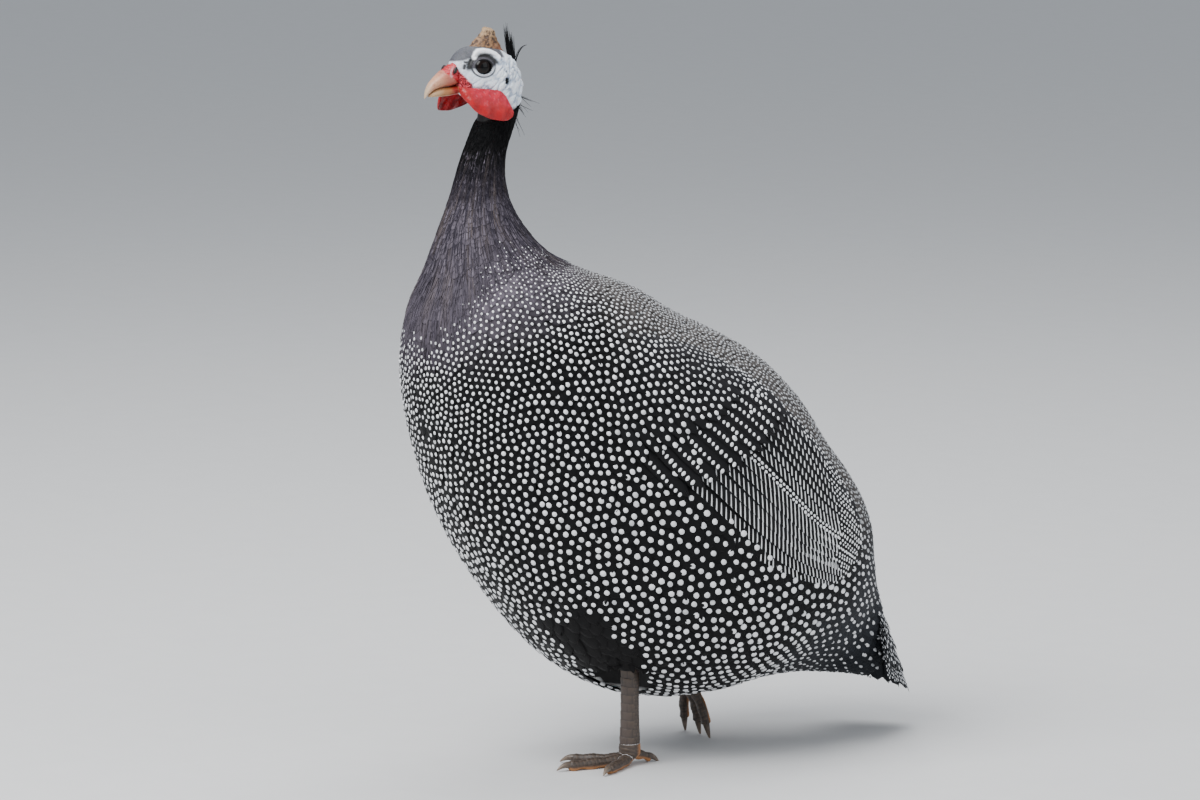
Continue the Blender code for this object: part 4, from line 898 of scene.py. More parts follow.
def row_places(first, last, row_step, side_step, seed):
    """Staggered places on the trunk: rows row_step stations apart, and in each row as many places as the girth
    holds at side_step millimetres, with a little disorder."""
    rng = np.random.default_rng(seed)
    t_all, turn_all = [], []
    for number, t in enumerate(np.arange(first, last, row_step)):
        ring = trunk_point(np.full(181, t), np.linspace(0, 2 * math.pi, 181))
        girth = np.linalg.norm(np.diff(ring, axis=0), axis=1) / MM
        length = np.concatenate([[0], np.cumsum(girth)])
        count = max(8, int(round(length[-1] / side_step(t))))
        at = (np.arange(count) + 0.5 * (number % 2) + rng.uniform(-0.16, 0.16, count)) / count * length[-1]
        turn = np.interp(at % length[-1], length, np.linspace(0, 2 * math.pi, 181))
        t_all.append(t + rng.uniform(-0.14, 0.14, count) * row_step)
        turn_all.append(turn)
    return np.concatenate(t_all), np.concatenate(turn_all)


def degrees_down(turn):
    """Degrees from the back line, the same on both sides."""
    return np.abs(np.degrees((turn + math.pi) % (2 * math.pi) - math.pi))


def body_tint(t, turn, seed):
    """Named feather colours mixed over the body: lilac neck, grey back, black breast and flanks, slate rump, and a dark
    patch before the legs that is partly painted shade.
    """
    rng = np.random.default_rng(seed)
    down = degrees_down(turn)
    point = trunk_point(t, turn)
    patch = noise(point / (30 * MM), 61) * 0.5
    colour = np.broadcast_to(BLACK_VANE, t.shape + (3,))
    colour = blend(colour, GREY_VANE, (1 - ease(38, 78, down + patch * 12)) * ease(14.0, 16.0, t) * (1 - 0.5 * ease(22, 25, t)))
    colour = blend(colour, SLATE_VANE, ease(22.8, 24.8, t + patch) * 0.85)
    lilac = 1 - ease(15.0, 16.6, t - 0.5 * ease(60, 150, down) + patch * 0.5 + 0.55 * (1 - ease(20, 60, down)))
    colour = blend(colour, LILAC_VANE, lilac)
    colour = blend(colour, DARK_DOWN, plain_belly_and_shade(t, turn))
    return colour * (1 + rng.uniform(-0.16, 0.16, t.shape))[..., None]


def plain_belly_and_shade(t, turn):
    """1 on the spotless feathers in front of the legs: the belly is plainer there, and the dark is painted shade."""
    down = degrees_down(turn)
    return ease(136, 144, down) * (1 - ease(160, 168, down)) * ease(20.2, 20.5, t) * (1 - ease(21.2, 21.7, t))


def body_vanes(first, last, row_step, side_step, length_rows, seed, low, high, **shape):
    t, turn = row_places(first, last, row_step, side_step, seed)
    rng = np.random.default_rng(seed + 1)
    keep = ~(under_wing(t + row_step, turn, 4.0) & under_wing(t + row_step * length_rows, turn, 3.0))
    t, turn = t[keep], turn[keep]
    end_t = t + row_step * length_rows * rng.uniform(0.92, 1.1, len(t))
    end_turn = turn + rng.uniform(-1, 1, len(t)) * 0.025
    half = np.array([side_step(value) for value in t]) * 0.68 * rng.uniform(0.9, 1.1, len(t))
    jitter = rng.uniform(-0.12, 0.12, len(t))
    crowd = Vanes(TRUNK, np.stack([t, turn], -1), np.stack([end_t, end_turn], -1), half,
                  low + jitter, high + jitter, tilt=rng.uniform(-0.12, 0.12, len(t)), **shape)
    crowd.tint = body_tint((t + end_t) / 2, (turn + end_turn) / 2, seed + 2)
    tip = TRUNK.point(crowd.end[:, 0], crowd.end[:, 1])
    return crowd.pick(np.flatnonzero(~in_opening(tip, 6) & ~in_opening(crowd.mid, 2)))


S_BODY = (0.0, 0.35, 0.62, 0.8, 0.92, 1.0)
W_BODY = (-1.0, -0.55, 0.0, 0.55, 1.0)
neck_crowd = body_vanes(11.3, 14.6, 0.13, lambda t: 4.2 + 1.2 * (t - 11.3) / 3.3, 3.4, 71, -0.9, -0.15, camber=0.12, thick=0.18)
shoulder_crowd = body_vanes(14.4, 17.6, 0.155, lambda t: 6.6 + 1.4 * (t - 14.4) / 3.2, 2.9, 73, -1.4, 0.35)
calm = 1 - ease(15.0, 16.6, shoulder_crowd.start[:, 0])
shoulder_crowd.camber *= 1 - 0.75 * calm
shoulder_crowd.high -= 0.8 * calm
flank_crowd = body_vanes(17.45, 20.9, 0.15, lambda t: 9.0, 2.9, 75, -1.7, 0.45)
rear_crowd = body_vanes(20.8, 28.2, 0.17, lambda t: 9.0 - 3.0 * ease(22.5, 26, t), 2.9, 77, -1.7, 0.45)
crowds = {"neck": neck_crowd, "shoulder": shoulder_crowd, "flank": flank_crowd,
          "rear": rear_crowd.pick(np.flatnonzero(rear_crowd.start[:, 0] <= 23.3)),
          "rump": rear_crowd.pick(np.flatnonzero(rear_crowd.start[:, 0] > 23.3))}
coat = [vane_piece("feathers_" + title, crowd, S_BODY, W_BODY, crowd.tint, 80 + n)
        for n, (title, crowd) in enumerate(crowds.items())]

# %% [markdown]
# ## The folded wing
# The wing lies in a shallow fold of the flank feathers. Lesser and middle coverts run over its arm in rows,
# the greater coverts cover the roots of the long secondaries, and the tertials lie uppermost, by the back.
# Each feather's lower edge rests on the next one down, so every vane is tilted a little towards the back.

# %% Lay the wing feathers
def wing_row(hand, count, start, end, half, low, high, tilt=0.55, wobble=0.012, seed=0, **shape):
    """One row of wing feathers from the lowest up: start and end give t and degrees down for a share from 0 at
    the wing's lower edge to 1 by the back."""
    rng = np.random.default_rng(seed + (hand < 0) * 50)
    share = np.linspace(0, 1, count)
    t0, d0 = start(share)
    t1, d1 = end(share)
    t0 = t0 + rng.uniform(-1, 1, count) * wobble * 2
    t1 = t1 + rng.uniform(-1, 1, count) * wobble * 3
    start_at = np.stack([t0, hand * np.radians(d0)], -1)
    end_at = np.stack([t1, hand * np.radians(d1 + rng.uniform(-1, 1, count) * 0.5)], -1)
    settle = 1.1 * (1 - ease(0.0, 0.3, share)) if half < 6.3 else 1.5 * (1 - ease(0.0, 0.16, share))
    crowd = Vanes(TRUNK, start_at, end_at, half * rng.uniform(0.94, 1.06, count), low - settle, high - settle,
                  tilt=-hand * tilt, **shape)
    crowd.share = share
    return crowd


def arc(a, b, bow=0.0, power=1.0):
    return lambda share: a + (b - a) * share**power + bow * np.sin(math.pi * share)


def both(t_rule, degree_rule):
    return lambda share: (t_rule(share), degree_rule(share))


WING_ROWS = {
    "flight": dict(count=15, start=both(arc(19.3, 19.6), arc(93.5, 44.0)),
                   end=(lambda share: (23.35 + 0.25 * np.sin(math.pi * share) - 0.95 * share**4, 82.0 - 39.0 * share**1.1)),
                   half=6.4, low=0.0, high=1.9, camber=0.35, thick=0.25, blunt=0.16),
    "greater": dict(count=12, start=both(arc(18.3, 18.7), arc(93.5, 46.0)), end=both(arc(19.95, 20.5, 0.12), arc(92.5, 45.0)),
                    half=6.7, low=0.6, high=2.8, camber=0.45, thick=0.25, blunt=0.35),
    "middle": dict(count=13, start=both(arc(17.9, 18.2), arc(91.5, 48.0)), end=both(arc(19.2, 19.6, 0.1), arc(94.0, 46.0)),
                   half=6.2, low=0.6, high=3.0, camber=0.5, thick=0.25, blunt=0.4),
    "lesser_c": dict(count=12, start=both(arc(17.6, 17.9), arc(87.0, 52.0)), end=both(arc(18.6, 18.95, 0.1), arc(92.5, 50.0)),
                     half=6.0, low=0.3, high=2.8, camber=0.5, thick=0.22),
    "lesser_b": dict(count=10, start=both(arc(17.35, 17.55), arc(83.0, 58.0)), end=both(arc(18.2, 18.4, 0.1), arc(89.0, 54.0)),
                     half=5.8, low=0.0, high=2.3, camber=0.5, thick=0.22),
    "lesser_a": dict(count=8, start=both(arc(17.1, 17.25), arc(80.0, 62.0)), end=both(arc(17.8, 18.0, 0.1), arc(84.0, 58.0)),
                     half=5.6, low=-0.6, high=1.5, camber=0.5, thick=0.22),
}
S_LONG = (0.0, 0.12, 0.28, 0.45, 0.62, 0.78, 0.9, 0.96, 1.0)
W_LONG = (-1.0, -0.66, -0.3, 0.0, 0.3, 0.66, 1.0)
wings, wing_crowds = [], {1: {}, -1: {}}
for hand, side_name in ((1, "left"), (-1, "right")):
    for n, (title, row) in enumerate(WING_ROWS.items()):
        crowd = wing_row(hand, seed=90 + n, **row)
        point = crowd.bed.point(crowd.end[:, 0], crowd.end[:, 1])
        tone = noise(point / (14 * MM), 95) * 0.15
        crowd.tint = blend(BLACK_VANE, linear("#232225"), np.clip(0.1 + tone + 0.7 * crowd.share**3, 0, 1))
        wing_crowds[hand][title] = crowd
        rings_s = S_LONG if title == "flight" else S_BODY
        wings.append(vane_piece(f"wing_{side_name}_{title}", crowd, rings_s, W_LONG, crowd.tint, 110 + n, 0.03))

# %% [markdown]
# ## The tail
# The short tail hangs down behind in two sloping halves, like a roof. The feathers are lines on one curved
# fan: u goes from -1 on the right edge to 1 on the left, and s from a feather's root to its tip.

# %% Lay the tail feathers
TAIL_ROOT = (-200.0, 91.0)
TAIL_TIP = (-232.3, 21.5)


def tail_point(s, u, lift=0.0):
    """Root plus s times the way to the tip, arched away from the middle of the roof: the middle feathers are
    the highest and longest, and the outer ones lie lower, further forward and steeper."""
    s, u = np.broadcast_arrays(np.asarray(s, float), np.asarray(u, float))
    size = np.sqrt(u * u + 0.0004)
    root = np.stack([24.2 * u, TAIL_ROOT[0] + 6 * size, TAIL_ROOT[1] - 12 * size**2], -1)
    tip = np.stack([39.0 * u, TAIL_TIP[0] + 36 * size**1.5, TAIL_TIP[1] + 15 * size**1.6], -1)
    before = np.stack([6 * u, np.full_like(u, -30.0), np.full_like(u, -52.0)], -1)
    way = before + (tip - root - before) * ease(-0.35, 0.35, s)[..., None]
    roof = math.radians(62) * u
    away = unit(np.stack([np.sin(roof), -0.87 * np.cos(roof), 0.49 * np.cos(roof)], -1))
    line = root + way * s[..., None] + away * (lift + 5.0 * np.maximum(s, 0) * (1 - s))[..., None]
    return place(line[..., 0], line[..., 1], line[..., 2])


TAIL = Bed(tail_point, lambda s, u: (0.3 + 0.2 * u, 0.93 + 0.06 * s))


def tail_row(count, wide, start, reach, half, low, high, seed):
    """Feathers of one tier from the right edge to the left: they point to the tip, and the middle ones lie over
    the outer ones, so each is tilted to its own side."""
    rng = np.random.default_rng(seed)
    u = np.linspace(-wide, wide, count)
    reach = reach * (1 - 0.04 * rng.uniform(0, 1, count))
    begin = np.stack([np.full(count, start), u * 0.94], -1)
    end = np.stack([reach, u], -1)
    lifted = 0.9 * (1 - np.abs(u) / wide)
    crowd = Vanes(TAIL, begin, end, np.full(count, half), low + lifted, high + lifted, camber=0.6,
                  tilt=-0.55 * np.sign(u) * (np.abs(u) > 0.01), thick=0.25, blunt=0.22)
    crowd.tint = blend(SLATE_VANE, BLACK_VANE, rng.uniform(0.1, 0.5, count))
    return crowd


tail_crowds = {
    "tail_long": tail_row(15, 1.0, 0.0, 1.0, 6.3, -1.0, 0.2, 121),
    "tail_cover_b": tail_row(14, 0.97, -0.1, 0.82, 6.0, -0.4, 1.2, 122),
    "tail_cover_a": tail_row(13, 0.95, -0.3, 0.6, 5.8, 0.0, 2.2, 123),
    "tail_cover_top": tail_row(12, 0.92, -0.5, 0.38, 5.6, 0.2, 3.0, 124),
}
tail = [vane_piece(title, crowd, S_LONG, W_LONG, crowd.tint, 130 + n, 0.03)
        for n, (title, crowd) in enumerate(tail_crowds.items())]

# %% [markdown]
# ## White spots
# Every dark feather of the bird carries round white spots. Seen together they form one even field, small and
# close on the back, larger on breast and flanks. Here the field is made first: places that push each other
# apart until they are evenly spread. Each place then finds the feather that lies uppermost there, and its
# spot is laid on that feather as a thin raised disc, so feather edges still cut across some of the spots.

# %% Spread the field of spots
def spot_space(t, turn):
    """Millimetres between neighbouring spots at a place on the trunk."""
    down = degrees_down(turn)
    flank = 4.4 + 1.1 * ease(16.2, 18.0, t) + 1.8 * ease(18.3, 20.3, t) + 1.9 * ease(23.6, 25.2, t)
    breast = 4.1 + 2.1 * ease(16.8, 19.8, t)
    space = flank + (breast - flank) * ease(105, 150, down)
    top = 2.8 + 0.6 * ease(17, 21, t) + 2.6 * ease(23.2, 25.5, t)
    space = top + (space - top) * ease(34, 80, down + 6 * (1 - ease(15, 18, t)))
    return space * (0.62 + 0.38 * ease(14.6, 16.8, t))


def spot_size(t, turn):
    """The radius of a spot in millimetres."""
    space = spot_space(t, turn)
    rump = ease(23.3, 24.8, t)
    return space * (0.245 + 0.01 * ease(4.5, 6.2, space) - 0.12 * rump) * (0.7 + 0.3 * ease(14.8, 17.3, t))


def spread_places(seed, rounds=28):
    """Starts from staggered rows whose density follows the spacing, then lets each place push off all those
    nearer than their spacing, a few rounds over. Pushes are steps in t and turn by the slopes of the bed."""
    rng = np.random.default_rng(seed)
    t_all, turn_all = [], []
    t = 14.3
    number = 0
    while t < 28.6:
        turn = np.linspace(0, math.pi, 721)
        ring = trunk_point(np.full(721, t), turn)
        length = np.linalg.norm(np.diff(ring, axis=0), axis=1) / MM
        middle = (turn[1:] + turn[:-1]) / 2
        along = np.linalg.norm(TRUNK.slopes(np.full(720, t), middle)[0], axis=-1) / MM
        want = np.cumsum(length / spot_space(t, middle) ** 2 * along * 0.087)
        count = int(want[-1] * 1.03)
        at = rng.uniform(0, want[-1], count)
        turn_all.append(np.interp(at, want, middle))
        t_all.append(t + rng.uniform(0, 0.087, count))
        t += 0.087
        number += 1
    t, turn = np.concatenate(t_all), np.concatenate(turn_all)
    for _ in range(rounds):
        point = trunk_point(t, turn) / MM
        space = spot_space(t, turn)
        mirror = point * [-1, 1, 1]
        push = np.zeros_like(point)
        for begin in range(0, len(t), 1500):
            rows = slice(begin, begin + 1500)
            for other, whole in ((point, True), (mirror[np.abs(point[:, 0]) < 8], False)):
                squared = (point[rows] ** 2).sum(1)[:, None] + (other**2).sum(1)[None] - 2 * point[rows] @ other.T
                far = np.sqrt(np.maximum(squared, 1e-6))
                force = np.maximum(0, 1.12 - far / space[rows, None]) * (far > 0.01) / far
                push[rows] += point[rows] * force.sum(1, keepdims=True) - force @ other
        push *= (space * 0.42)[:, None]
        slope_t, slope_turn = (v / MM for v in TRUNK.slopes(t, turn))
        e, f, g = (np.sum(a * b, -1) for a, b in ((slope_t, slope_t), (slope_t, slope_turn), (slope_turn, slope_turn)))
        p, q = np.sum(push * slope_t, -1), np.sum(push * slope_turn, -1)
        det = e * g - f * f
        t = np.clip(t + (g * p - f * q) / det, 14.2, 28.6)
        turn = np.clip(turn + (e * q - f * p) / det, 0.004, math.pi - 0.004)
    return t, turn


half_t, half_turn = spread_places(141)
field_t = np.concatenate([half_t, half_t])
field_turn = np.concatenate([half_turn, -half_turn])
print("places for spots:", len(field_t))


# %% Lay the spots on the feathers
def uppermost(crowds, places_t, places_turn):
    """For each place, the crowd and the vane whose top lies highest there, with its share s and w. A way in t
    and turn from the vane's root is measured by the bed's slopes: its part along the vane gives s, and the area
    it spans with the vane, over the vane's length, gives w. Places are taken in order of t, so that each is only
    set against the vanes near it."""
    slope_t, slope_turn = (v / MM for v in TRUNK.slopes(places_t, places_turn))
    e, f, g = (np.sum(a * b, -1) for a, b in ((slope_t, slope_t), (slope_t, slope_turn), (slope_turn, slope_turn)))
    best = np.full(len(places_t), -1e9)
    which, vane, at_s, at_w = (np.zeros(len(places_t)) for _ in range(4))
    order = np.argsort(places_t)
    for number, crowd in enumerate(crowds):
        middle_t = (crowd.start[:, 0] + crowd.end[:, 0]) / 2
        for begin in range(0, len(order), 500):
            rows = order[begin:begin + 500]
            reach = 2.6 if len(crowd.half) < 40 else 0.8
            near = np.flatnonzero((middle_t > places_t[rows[0]] - reach) & (middle_t < places_t[rows[-1]] + reach))
            if not len(near):
                continue
            some = crowd.pick(near)
            a, b = places_t[rows, None] - some.start[:, 0], places_turn[rows, None] - some.start[:, 1]
            b = (b + math.pi) % (2 * math.pi) - math.pi
            c, d = (some.end - some.start).T
            ee, ff, gg = (v[rows, None] for v in (e, f, g))
            long = ee * c * c + 2 * ff * c * d + gg * d * d
            s = (ee * a * c + ff * (a * d + b * c) + gg * b * d) / long
            w = np.sqrt((ee * gg - ff * ff) / long) * (d * a - c * b) / some.half
            tip = np.clip((s - 1 + some.blunt) / some.blunt, 0, 1)
            inside = (s > 0.02) & (s < 0.985) & (np.abs(w) < 0.94 * np.sqrt(np.clip(1 - tip**2.4, 0, 1)))
            lift = some.low + (some.high - some.low) * s - some.camber * w**2 + some.tilt * w
            lift = np.where(inside, lift, -1e9)
            top = lift.argmax(1)
            index = np.arange(len(top))
            better = lift[index, top] > best[rows]
            for store, value in ((best, lift[index, top]), (which, number), (vane, near[top]), (at_s, s[index, top]), (at_w, w[index, top])):
                store[rows] = np.where(better, value, store[rows])
    return best, which.astype(int), vane.astype(int), at_s, at_w


def settle(crowd, s, w, target, rounds=2):
    """Moves s and w until the vanes' points lie at their targets, by what is left along and across each vane."""
    for _ in range(rounds):
        left = (target - crowd.points(s[:, None], w[:, None])[0][:, 0]) / MM
        s = np.clip(s + np.sum(left * crowd.along, -1) / crowd.length, 0.02, 0.985)
        w = np.clip(w + np.sum(left * crowd.across, -1) / crowd.half, -0.95, 0.95)
    return s, w


def disc_rings(crowd, s, w, radius, long=1.12, seed=0, over=0.1):
    """Thin discs on vanes: eight points round, a little longer along the feather and a little uneven, once
    under the vane's top and once over it by a height in millimetres."""
    rng = np.random.default_rng(seed)
    turn = (np.arange(8) + 0.5) * math.pi / 4
    size = radius[:, None] * (1 + 0.06 * rng.uniform(-1, 1, (len(s), 8)))
    s_ring = s[:, None] + np.cos(turn) * size * long / crowd.length[:, None]
    w_ring = w[:, None] + np.sin(turn) * size / crowd.half[:, None]
    base, out, lift = crowd.points(s_ring, w_ring)
    over = np.broadcast_to(over, s.shape)[:, None, None] * MM
    return np.stack([base + out * (lift - 0.08 * MM), base + out * (lift + over)], 1)


def spot_piece(name, rings, root, tint):
    points, faces = tube_faces(rings)
    count, steps, around = rings.shape[:3]
    colour = np.broadcast_to(tint[:, None, None], (count, steps, around, 3))
    piece = put(name, points, faces, {"OFBake": patches(root, steps, around)}, {"tint": colour.reshape(-1, 3)})
    print(name, "spots:", count, "triangles:", 2 * len(faces))
    return piece


WHITE = linear("#fcfdff")
GREY_SPOT = linear("#8d9094")
every = list(crowds.values()) + [wing_crowds[hand][title] for hand in (1, -1) for title in WING_ROWS]
names = list(crowds) + [title for hand in (1, -1) for title in WING_ROWS]
best, which, vane, at_s, at_w = uppermost(every, field_t, field_turn)
rng = np.random.default_rng(151)
radius = spot_size(field_t, field_turn) * rng.uniform(0.88, 1.1, len(field_t))
slope_t, slope_turn = TRUNK.slopes(field_t, field_turn)
ring_top = best.copy()
for angle in np.arange(6) * math.pi / 3:
    near_t = field_t + math.cos(angle) * radius * MM / np.linalg.norm(slope_t, axis=1)
    near_turn = field_turn + math.sin(angle) * radius * MM / np.linalg.norm(slope_turn, axis=1)
    ring_top = np.maximum(ring_top, uppermost(every, near_t, near_turn)[0])
over = np.clip(ring_top - best, 0.0, 1.3) + 0.1
print("spots raised over a neighbour's edge:", int((over > 0.3).sum()))
begins = 14.3 + 1.9 * ease(95, 170, degrees_down(field_turn)) + 0.35 * ease(100, 30, degrees_down(field_turn))
# spots are also dropped on the painted shade in front of the legs
bare = (plain_belly_and_shade(field_t, field_turn) > rng.uniform(0.1, 0.9, len(field_t))) | (rng.uniform(0, 1, len(field_t)) < 1 - ease(begins - 0.1, begins + 0.5, field_t))
spots, all_rings, all_roots, all_tints = [], [], [], []
for number, crowd in enumerate(every):
    mine = (best > -1e8) & (which == number) & ~bare
    if names[number] in ("flight", "greater") or not mine.any():
        continue
    chosen = crowd.pick(vane[mine])
    s, w = settle(chosen, at_s[mine], at_w[mine], trunk_point(field_t[mine], field_turn[mine]))
    all_rings.append(disc_rings(chosen, s, w, radius[mine], 1.12 + 0.35 * ease(23.3, 24.8, field_t[mine])[:, None],
                                160 + number, over[mine]))
    all_roots.append(chosen.root_patch())
    down = degrees_down(field_turn[mine])
    # greyer spots on the upper back and at random, and painted shade that greys the spots towards the rump
    grey_and_shade = 0.62 * (1 - ease(38, 72, down)) + 0.55 * rng.uniform(0, 1, mine.sum()) ** 4 + 0.2 * ease(23, 25, field_t[mine])
    all_tints.append(blend(WHITE, GREY_SPOT, np.clip(grey_and_shade, 0, 0.8)))
rings, roots, tints = (np.concatenate(v) for v in (all_rings, all_roots, all_tints))
for n, begin in enumerate(range(0, len(rings), 6500)):
    part = slice(begin, begin + 6500)
    spots.append(spot_piece(f"spots_body_{n + 1}", rings[part], roots[part], tints[part]))

# %% [markdown]
# ## Bars on the flight feathers and spots on the tail
# The secondaries carry fine white bars that cross the outer vane aslant and line up from feather to feather,
# because each is a place of equal distance along the body. The tail's spots stand in staggered rows.

# %% Lay bars and tail spots
BAR_SPACE = 3.3
BAR_HALF = 0.46


def bars_to(share):
    """The share of a feather's length that its bars reach: they stop sooner on the upper feathers."""
    return 0.93 - 0.13 * ease(0.12, 0.3, share) - 0.05 * ease(0.25, 0.7, share)


def bar_rings(crowd, hand, seed=0):
    """Thin strips across the vanes' lower halves. For each vane the distance along the body is measured at its
    root, its tip and across its middle, which gives the share s of each bar and how far s shifts with w."""
    rng = np.random.default_rng(seed)
    count = len(crowd.half)
    s_test = np.broadcast_to([0.1, 0.9, 0.5, 0.5], (count, 4))
    w_test = np.broadcast_to([0.0, 0.0, -0.8, 0.8], (count, 4))
    ahead = crowd.points(s_test, w_test)[0][..., 1] / MM
    per_s = (ahead[:, 1] - ahead[:, 0]) / 0.8
    per_w = (ahead[:, 3] - ahead[:, 2]) / 1.6
    first = ahead[:, 0] - 0.1 * per_s
    index, s_all = [], []
    for n in range(count):
        bars = np.arange(np.ceil(first[n] / BAR_SPACE), np.floor((first[n] + per_s[n]) / BAR_SPACE)) * BAR_SPACE
        s = (bars + rng.uniform(-0.12, 0.12, len(bars)) - first[n]) / per_s[n]
        index.append(np.full(len(s), n))
        s_all.append(s)
    index, s_mid = np.concatenate(index), np.concatenate(s_all)
    keep = (s_mid > 0.12) & (s_mid < bars_to(crowd.share[index])) & (index != DOTTED_FLIGHT)
    index, s_mid = index[keep], s_mid[keep]
    chosen = crowd.pick(index)
    short = ease(0.5, 0.72, chosen.share)[:, None]
    w = -hand * (np.linspace(0.93, -0.15, 6)[None, :] * (1 - short) + np.linspace(0.86, 0.3, 6)[None, :] * short)
    s = s_mid[:, None] - (per_w / per_s)[index][:, None] * w * (1 - 0.35 * short)
    s = np.clip(s, 0.02, 0.985)
    limit = 0.95 * chosen.outline(s)
    w = np.clip(w, -limit, limit)
    wide = BAR_HALF * np.array([0.9, 1.1, 1.0, 0.9, 0.8, 0.6]) * rng.uniform(0.85, 1.15, (len(index), 1)) * (1 + 0.35 * short)
    step = wide / chosen.length[:, None]
    s4 = np.stack([s - step, s + step, s + step, s - step], -1).reshape(len(index), -1)
    w4 = np.repeat(w, 4, 1)
    base, out, lift = chosen.points(s4, w4)
    over = np.tile([0.09, 0.09, -0.1, -0.1], 6)[None, :, None] * MM
    points = base + out * (lift + over)
    return points.reshape(len(index), 6, 4, 3), chosen.root_patch()


def row_spots(crowd, space, radius, s_from, s_to, columns, seed, long=1.12):
    """Spots in staggered rows down each vane, with a column at each of a few shares of its half width. s_from
    and s_to are one number or one a vane."""
    rng = np.random.default_rng(seed)
    index, s_all, w_all = [], [], []
    s_from, s_to = (np.broadcast_to(v, crowd.half.shape) for v in (s_from, s_to))
    for n in range(len(crowd.half)):
        for c, w in enumerate(columns):
            s = np.arange(s_from[n] + 0.5 * (c % 2) * space / crowd.length[n], s_to[n], space / crowd.length[n])
            index.append(np.full(len(s), n))
            s_all.append(s + rng.uniform(-0.1, 0.1, len(s)) * space / crowd.length[n])
            w_all.append(w + rng.uniform(-0.04, 0.04, len(s)))
    index, s, w = (np.concatenate(v) for v in (index, s_all, w_all))
    size = radius * rng.uniform(0.85, 1.12, len(index))
    chosen = crowd.pick(index.astype(int))
    return disc_rings(chosen, s, w, size, long, seed), chosen.root_patch()


DOTTED_FLIGHT = 7
bars, roots = zip(*(bar_rings(wing_crowds[hand]["flight"], hand, 170) for hand in (1, -1)))
bars, roots = np.concatenate(bars), np.concatenate(roots)
spots.append(spot_piece("bars_flight", bars, roots, np.tile(blend(WHITE, GREY_SPOT, 0.15), (len(bars), 1))))

made = []
for hand in (1, -1):
    flight, greater = wing_crowds[hand]["flight"], wing_crowds[hand]["greater"]
    made.append(row_spots(flight, 3.5, 0.8, bars_to(flight.share) + 0.02, 0.97, (-hand * 0.8, -hand * 0.35), 180))
    made.append(row_spots(flight.pick(np.array([DOTTED_FLIGHT])), 3.3, 1.0, 0.12, 0.8, (-hand * 0.78, -hand * 0.36), 181))
    made.append(row_spots(greater, 3.9, 1.5, 0.2, 0.95, (-hand * 0.47,), 183, 0.75))
rings, roots = (np.concatenate(v) for v in zip(*made))
taken = np.concatenate([bars.mean(2).reshape(-1, 3), rings[:, 1].mean(1)])
made = [(rings, roots)]
for number, crowd in enumerate(every):
    mine = np.flatnonzero((best > -1e8) & (which == number) & (names[number] in ("flight", "greater")))
    if not len(mine):
        continue
    t, turn = field_t[mine], field_turn[mine]
    point = trunk_point(t, turn) + TRUNK.normal(t, turn) * best[mine, None] * MM
    gap = np.linalg.norm(point[:, None] - taken[None], axis=-1).min(1) / MM
    free = gap > radius[mine] + (1.1 if names[number] == "flight" else 2.0)
    chosen, mine = crowd.pick(vane[mine[free]]), mine[free]
    s, w = settle(chosen, at_s[mine], at_w[mine], trunk_point(field_t[mine], field_turn[mine]))
    made.append((disc_rings(chosen, s, w, radius[mine], 1.12, 190 + number, over[mine]), chosen.root_patch()))
    print("places filled beside the rows of", names[number], len(mine))
rings, roots = (np.concatenate(v) for v in zip(*made))
spots.append(spot_piece("spots_wing", rings, roots, np.tile(WHITE, (len(rings), 1))))

made = []
for title, crowd in tail_crowds.items():
    for side in (1, -1):
        half_tail = crowd.pick(np.flatnonzero(crowd.start[:, 1] * side > -0.01))
        if title == "tail_long":
            made.append(row_spots(half_tail, 3.2, 0.66, 0.3, 0.97, (-0.8 * side, -0.4 * side, 0.0), 185, 1.2))
        else:
            made.append(row_spots(half_tail, 6.0, 0.9, 0.12, 0.95, (-0.75 * side, -0.2 * side), 186, 1.4))
rings, roots = (np.concatenate(v) for v in zip(*made))
# painted shade: the tail's spots are greyed a quarter of the way to GREY_SPOT
spots.append(spot_piece("spots_tail", rings, roots, np.tile(blend(WHITE, GREY_SPOT, 0.25), (len(rings), 1))))

# %% [markdown]
# ## Hair-like feathers
# The upper neck is clothed in black feathers so narrow that they look like hair, a stiff tuft of them stands
# behind the casque, and a few stand off the nape. Each is a thin tapered tube.

# %% Lay hairs, tuft and wisps
def tube_rings(paths, radii, around=6):
    """Rings round paths: each ring is the cosine of turn along one direction square to the path and the sine
    along the other, times the radius there."""
    along = unit(np.gradient(paths, axis=1))
    guide = np.where(np.abs(along[:, :1, :1]) < 0.7, np.array([1.0, 0, 0]), np.array([0, 1.0, 0]))
    side = unit(np.cross(along, guide))
    other = np.cross(along, side)
    turn = (np.arange(around) * 2 * math.pi / around)[:, None]
    ring = np.cos(turn) * side[:, :, None] + np.sin(turn) * other[:, :, None]
    return paths[:, :, None] + radii[..., None, None] * ring


def hair_piece(name, paths, radii, root, tint, around=4):
    rings = tube_rings(paths, radii, around)
    points, faces = tube_faces(rings)
    count, steps = rings.shape[:2]
    colour = np.broadcast_to(tint[:, None, None], (count, steps, around, 3))
    piece = put(name, points, faces, {"OFBake": patches(root, steps, around)}, {"tint": colour.reshape(-1, 3)})
    print(name, "hairs:", count, "triangles:", 2 * len(faces))
    return piece


def bed_paths(t, turn, reach_t, drift, lift, steps=6):
    """Paths over the trunk from t and turn back along it, rising from the skin by lift millimetres at the tip."""
    s = np.linspace(0, 1, steps)[None, :]
    t_line = t[:, None] + reach_t[:, None] * s
    turn_line = turn[:, None] + drift[:, None] * s
    out = TRUNK.normal(t_line, turn_line)
    rise = -1.1 + (lift[:, None] + 1.1) * s**1.3
    return trunk_point(t_line, turn_line) + out * (rise * MM)[..., None]


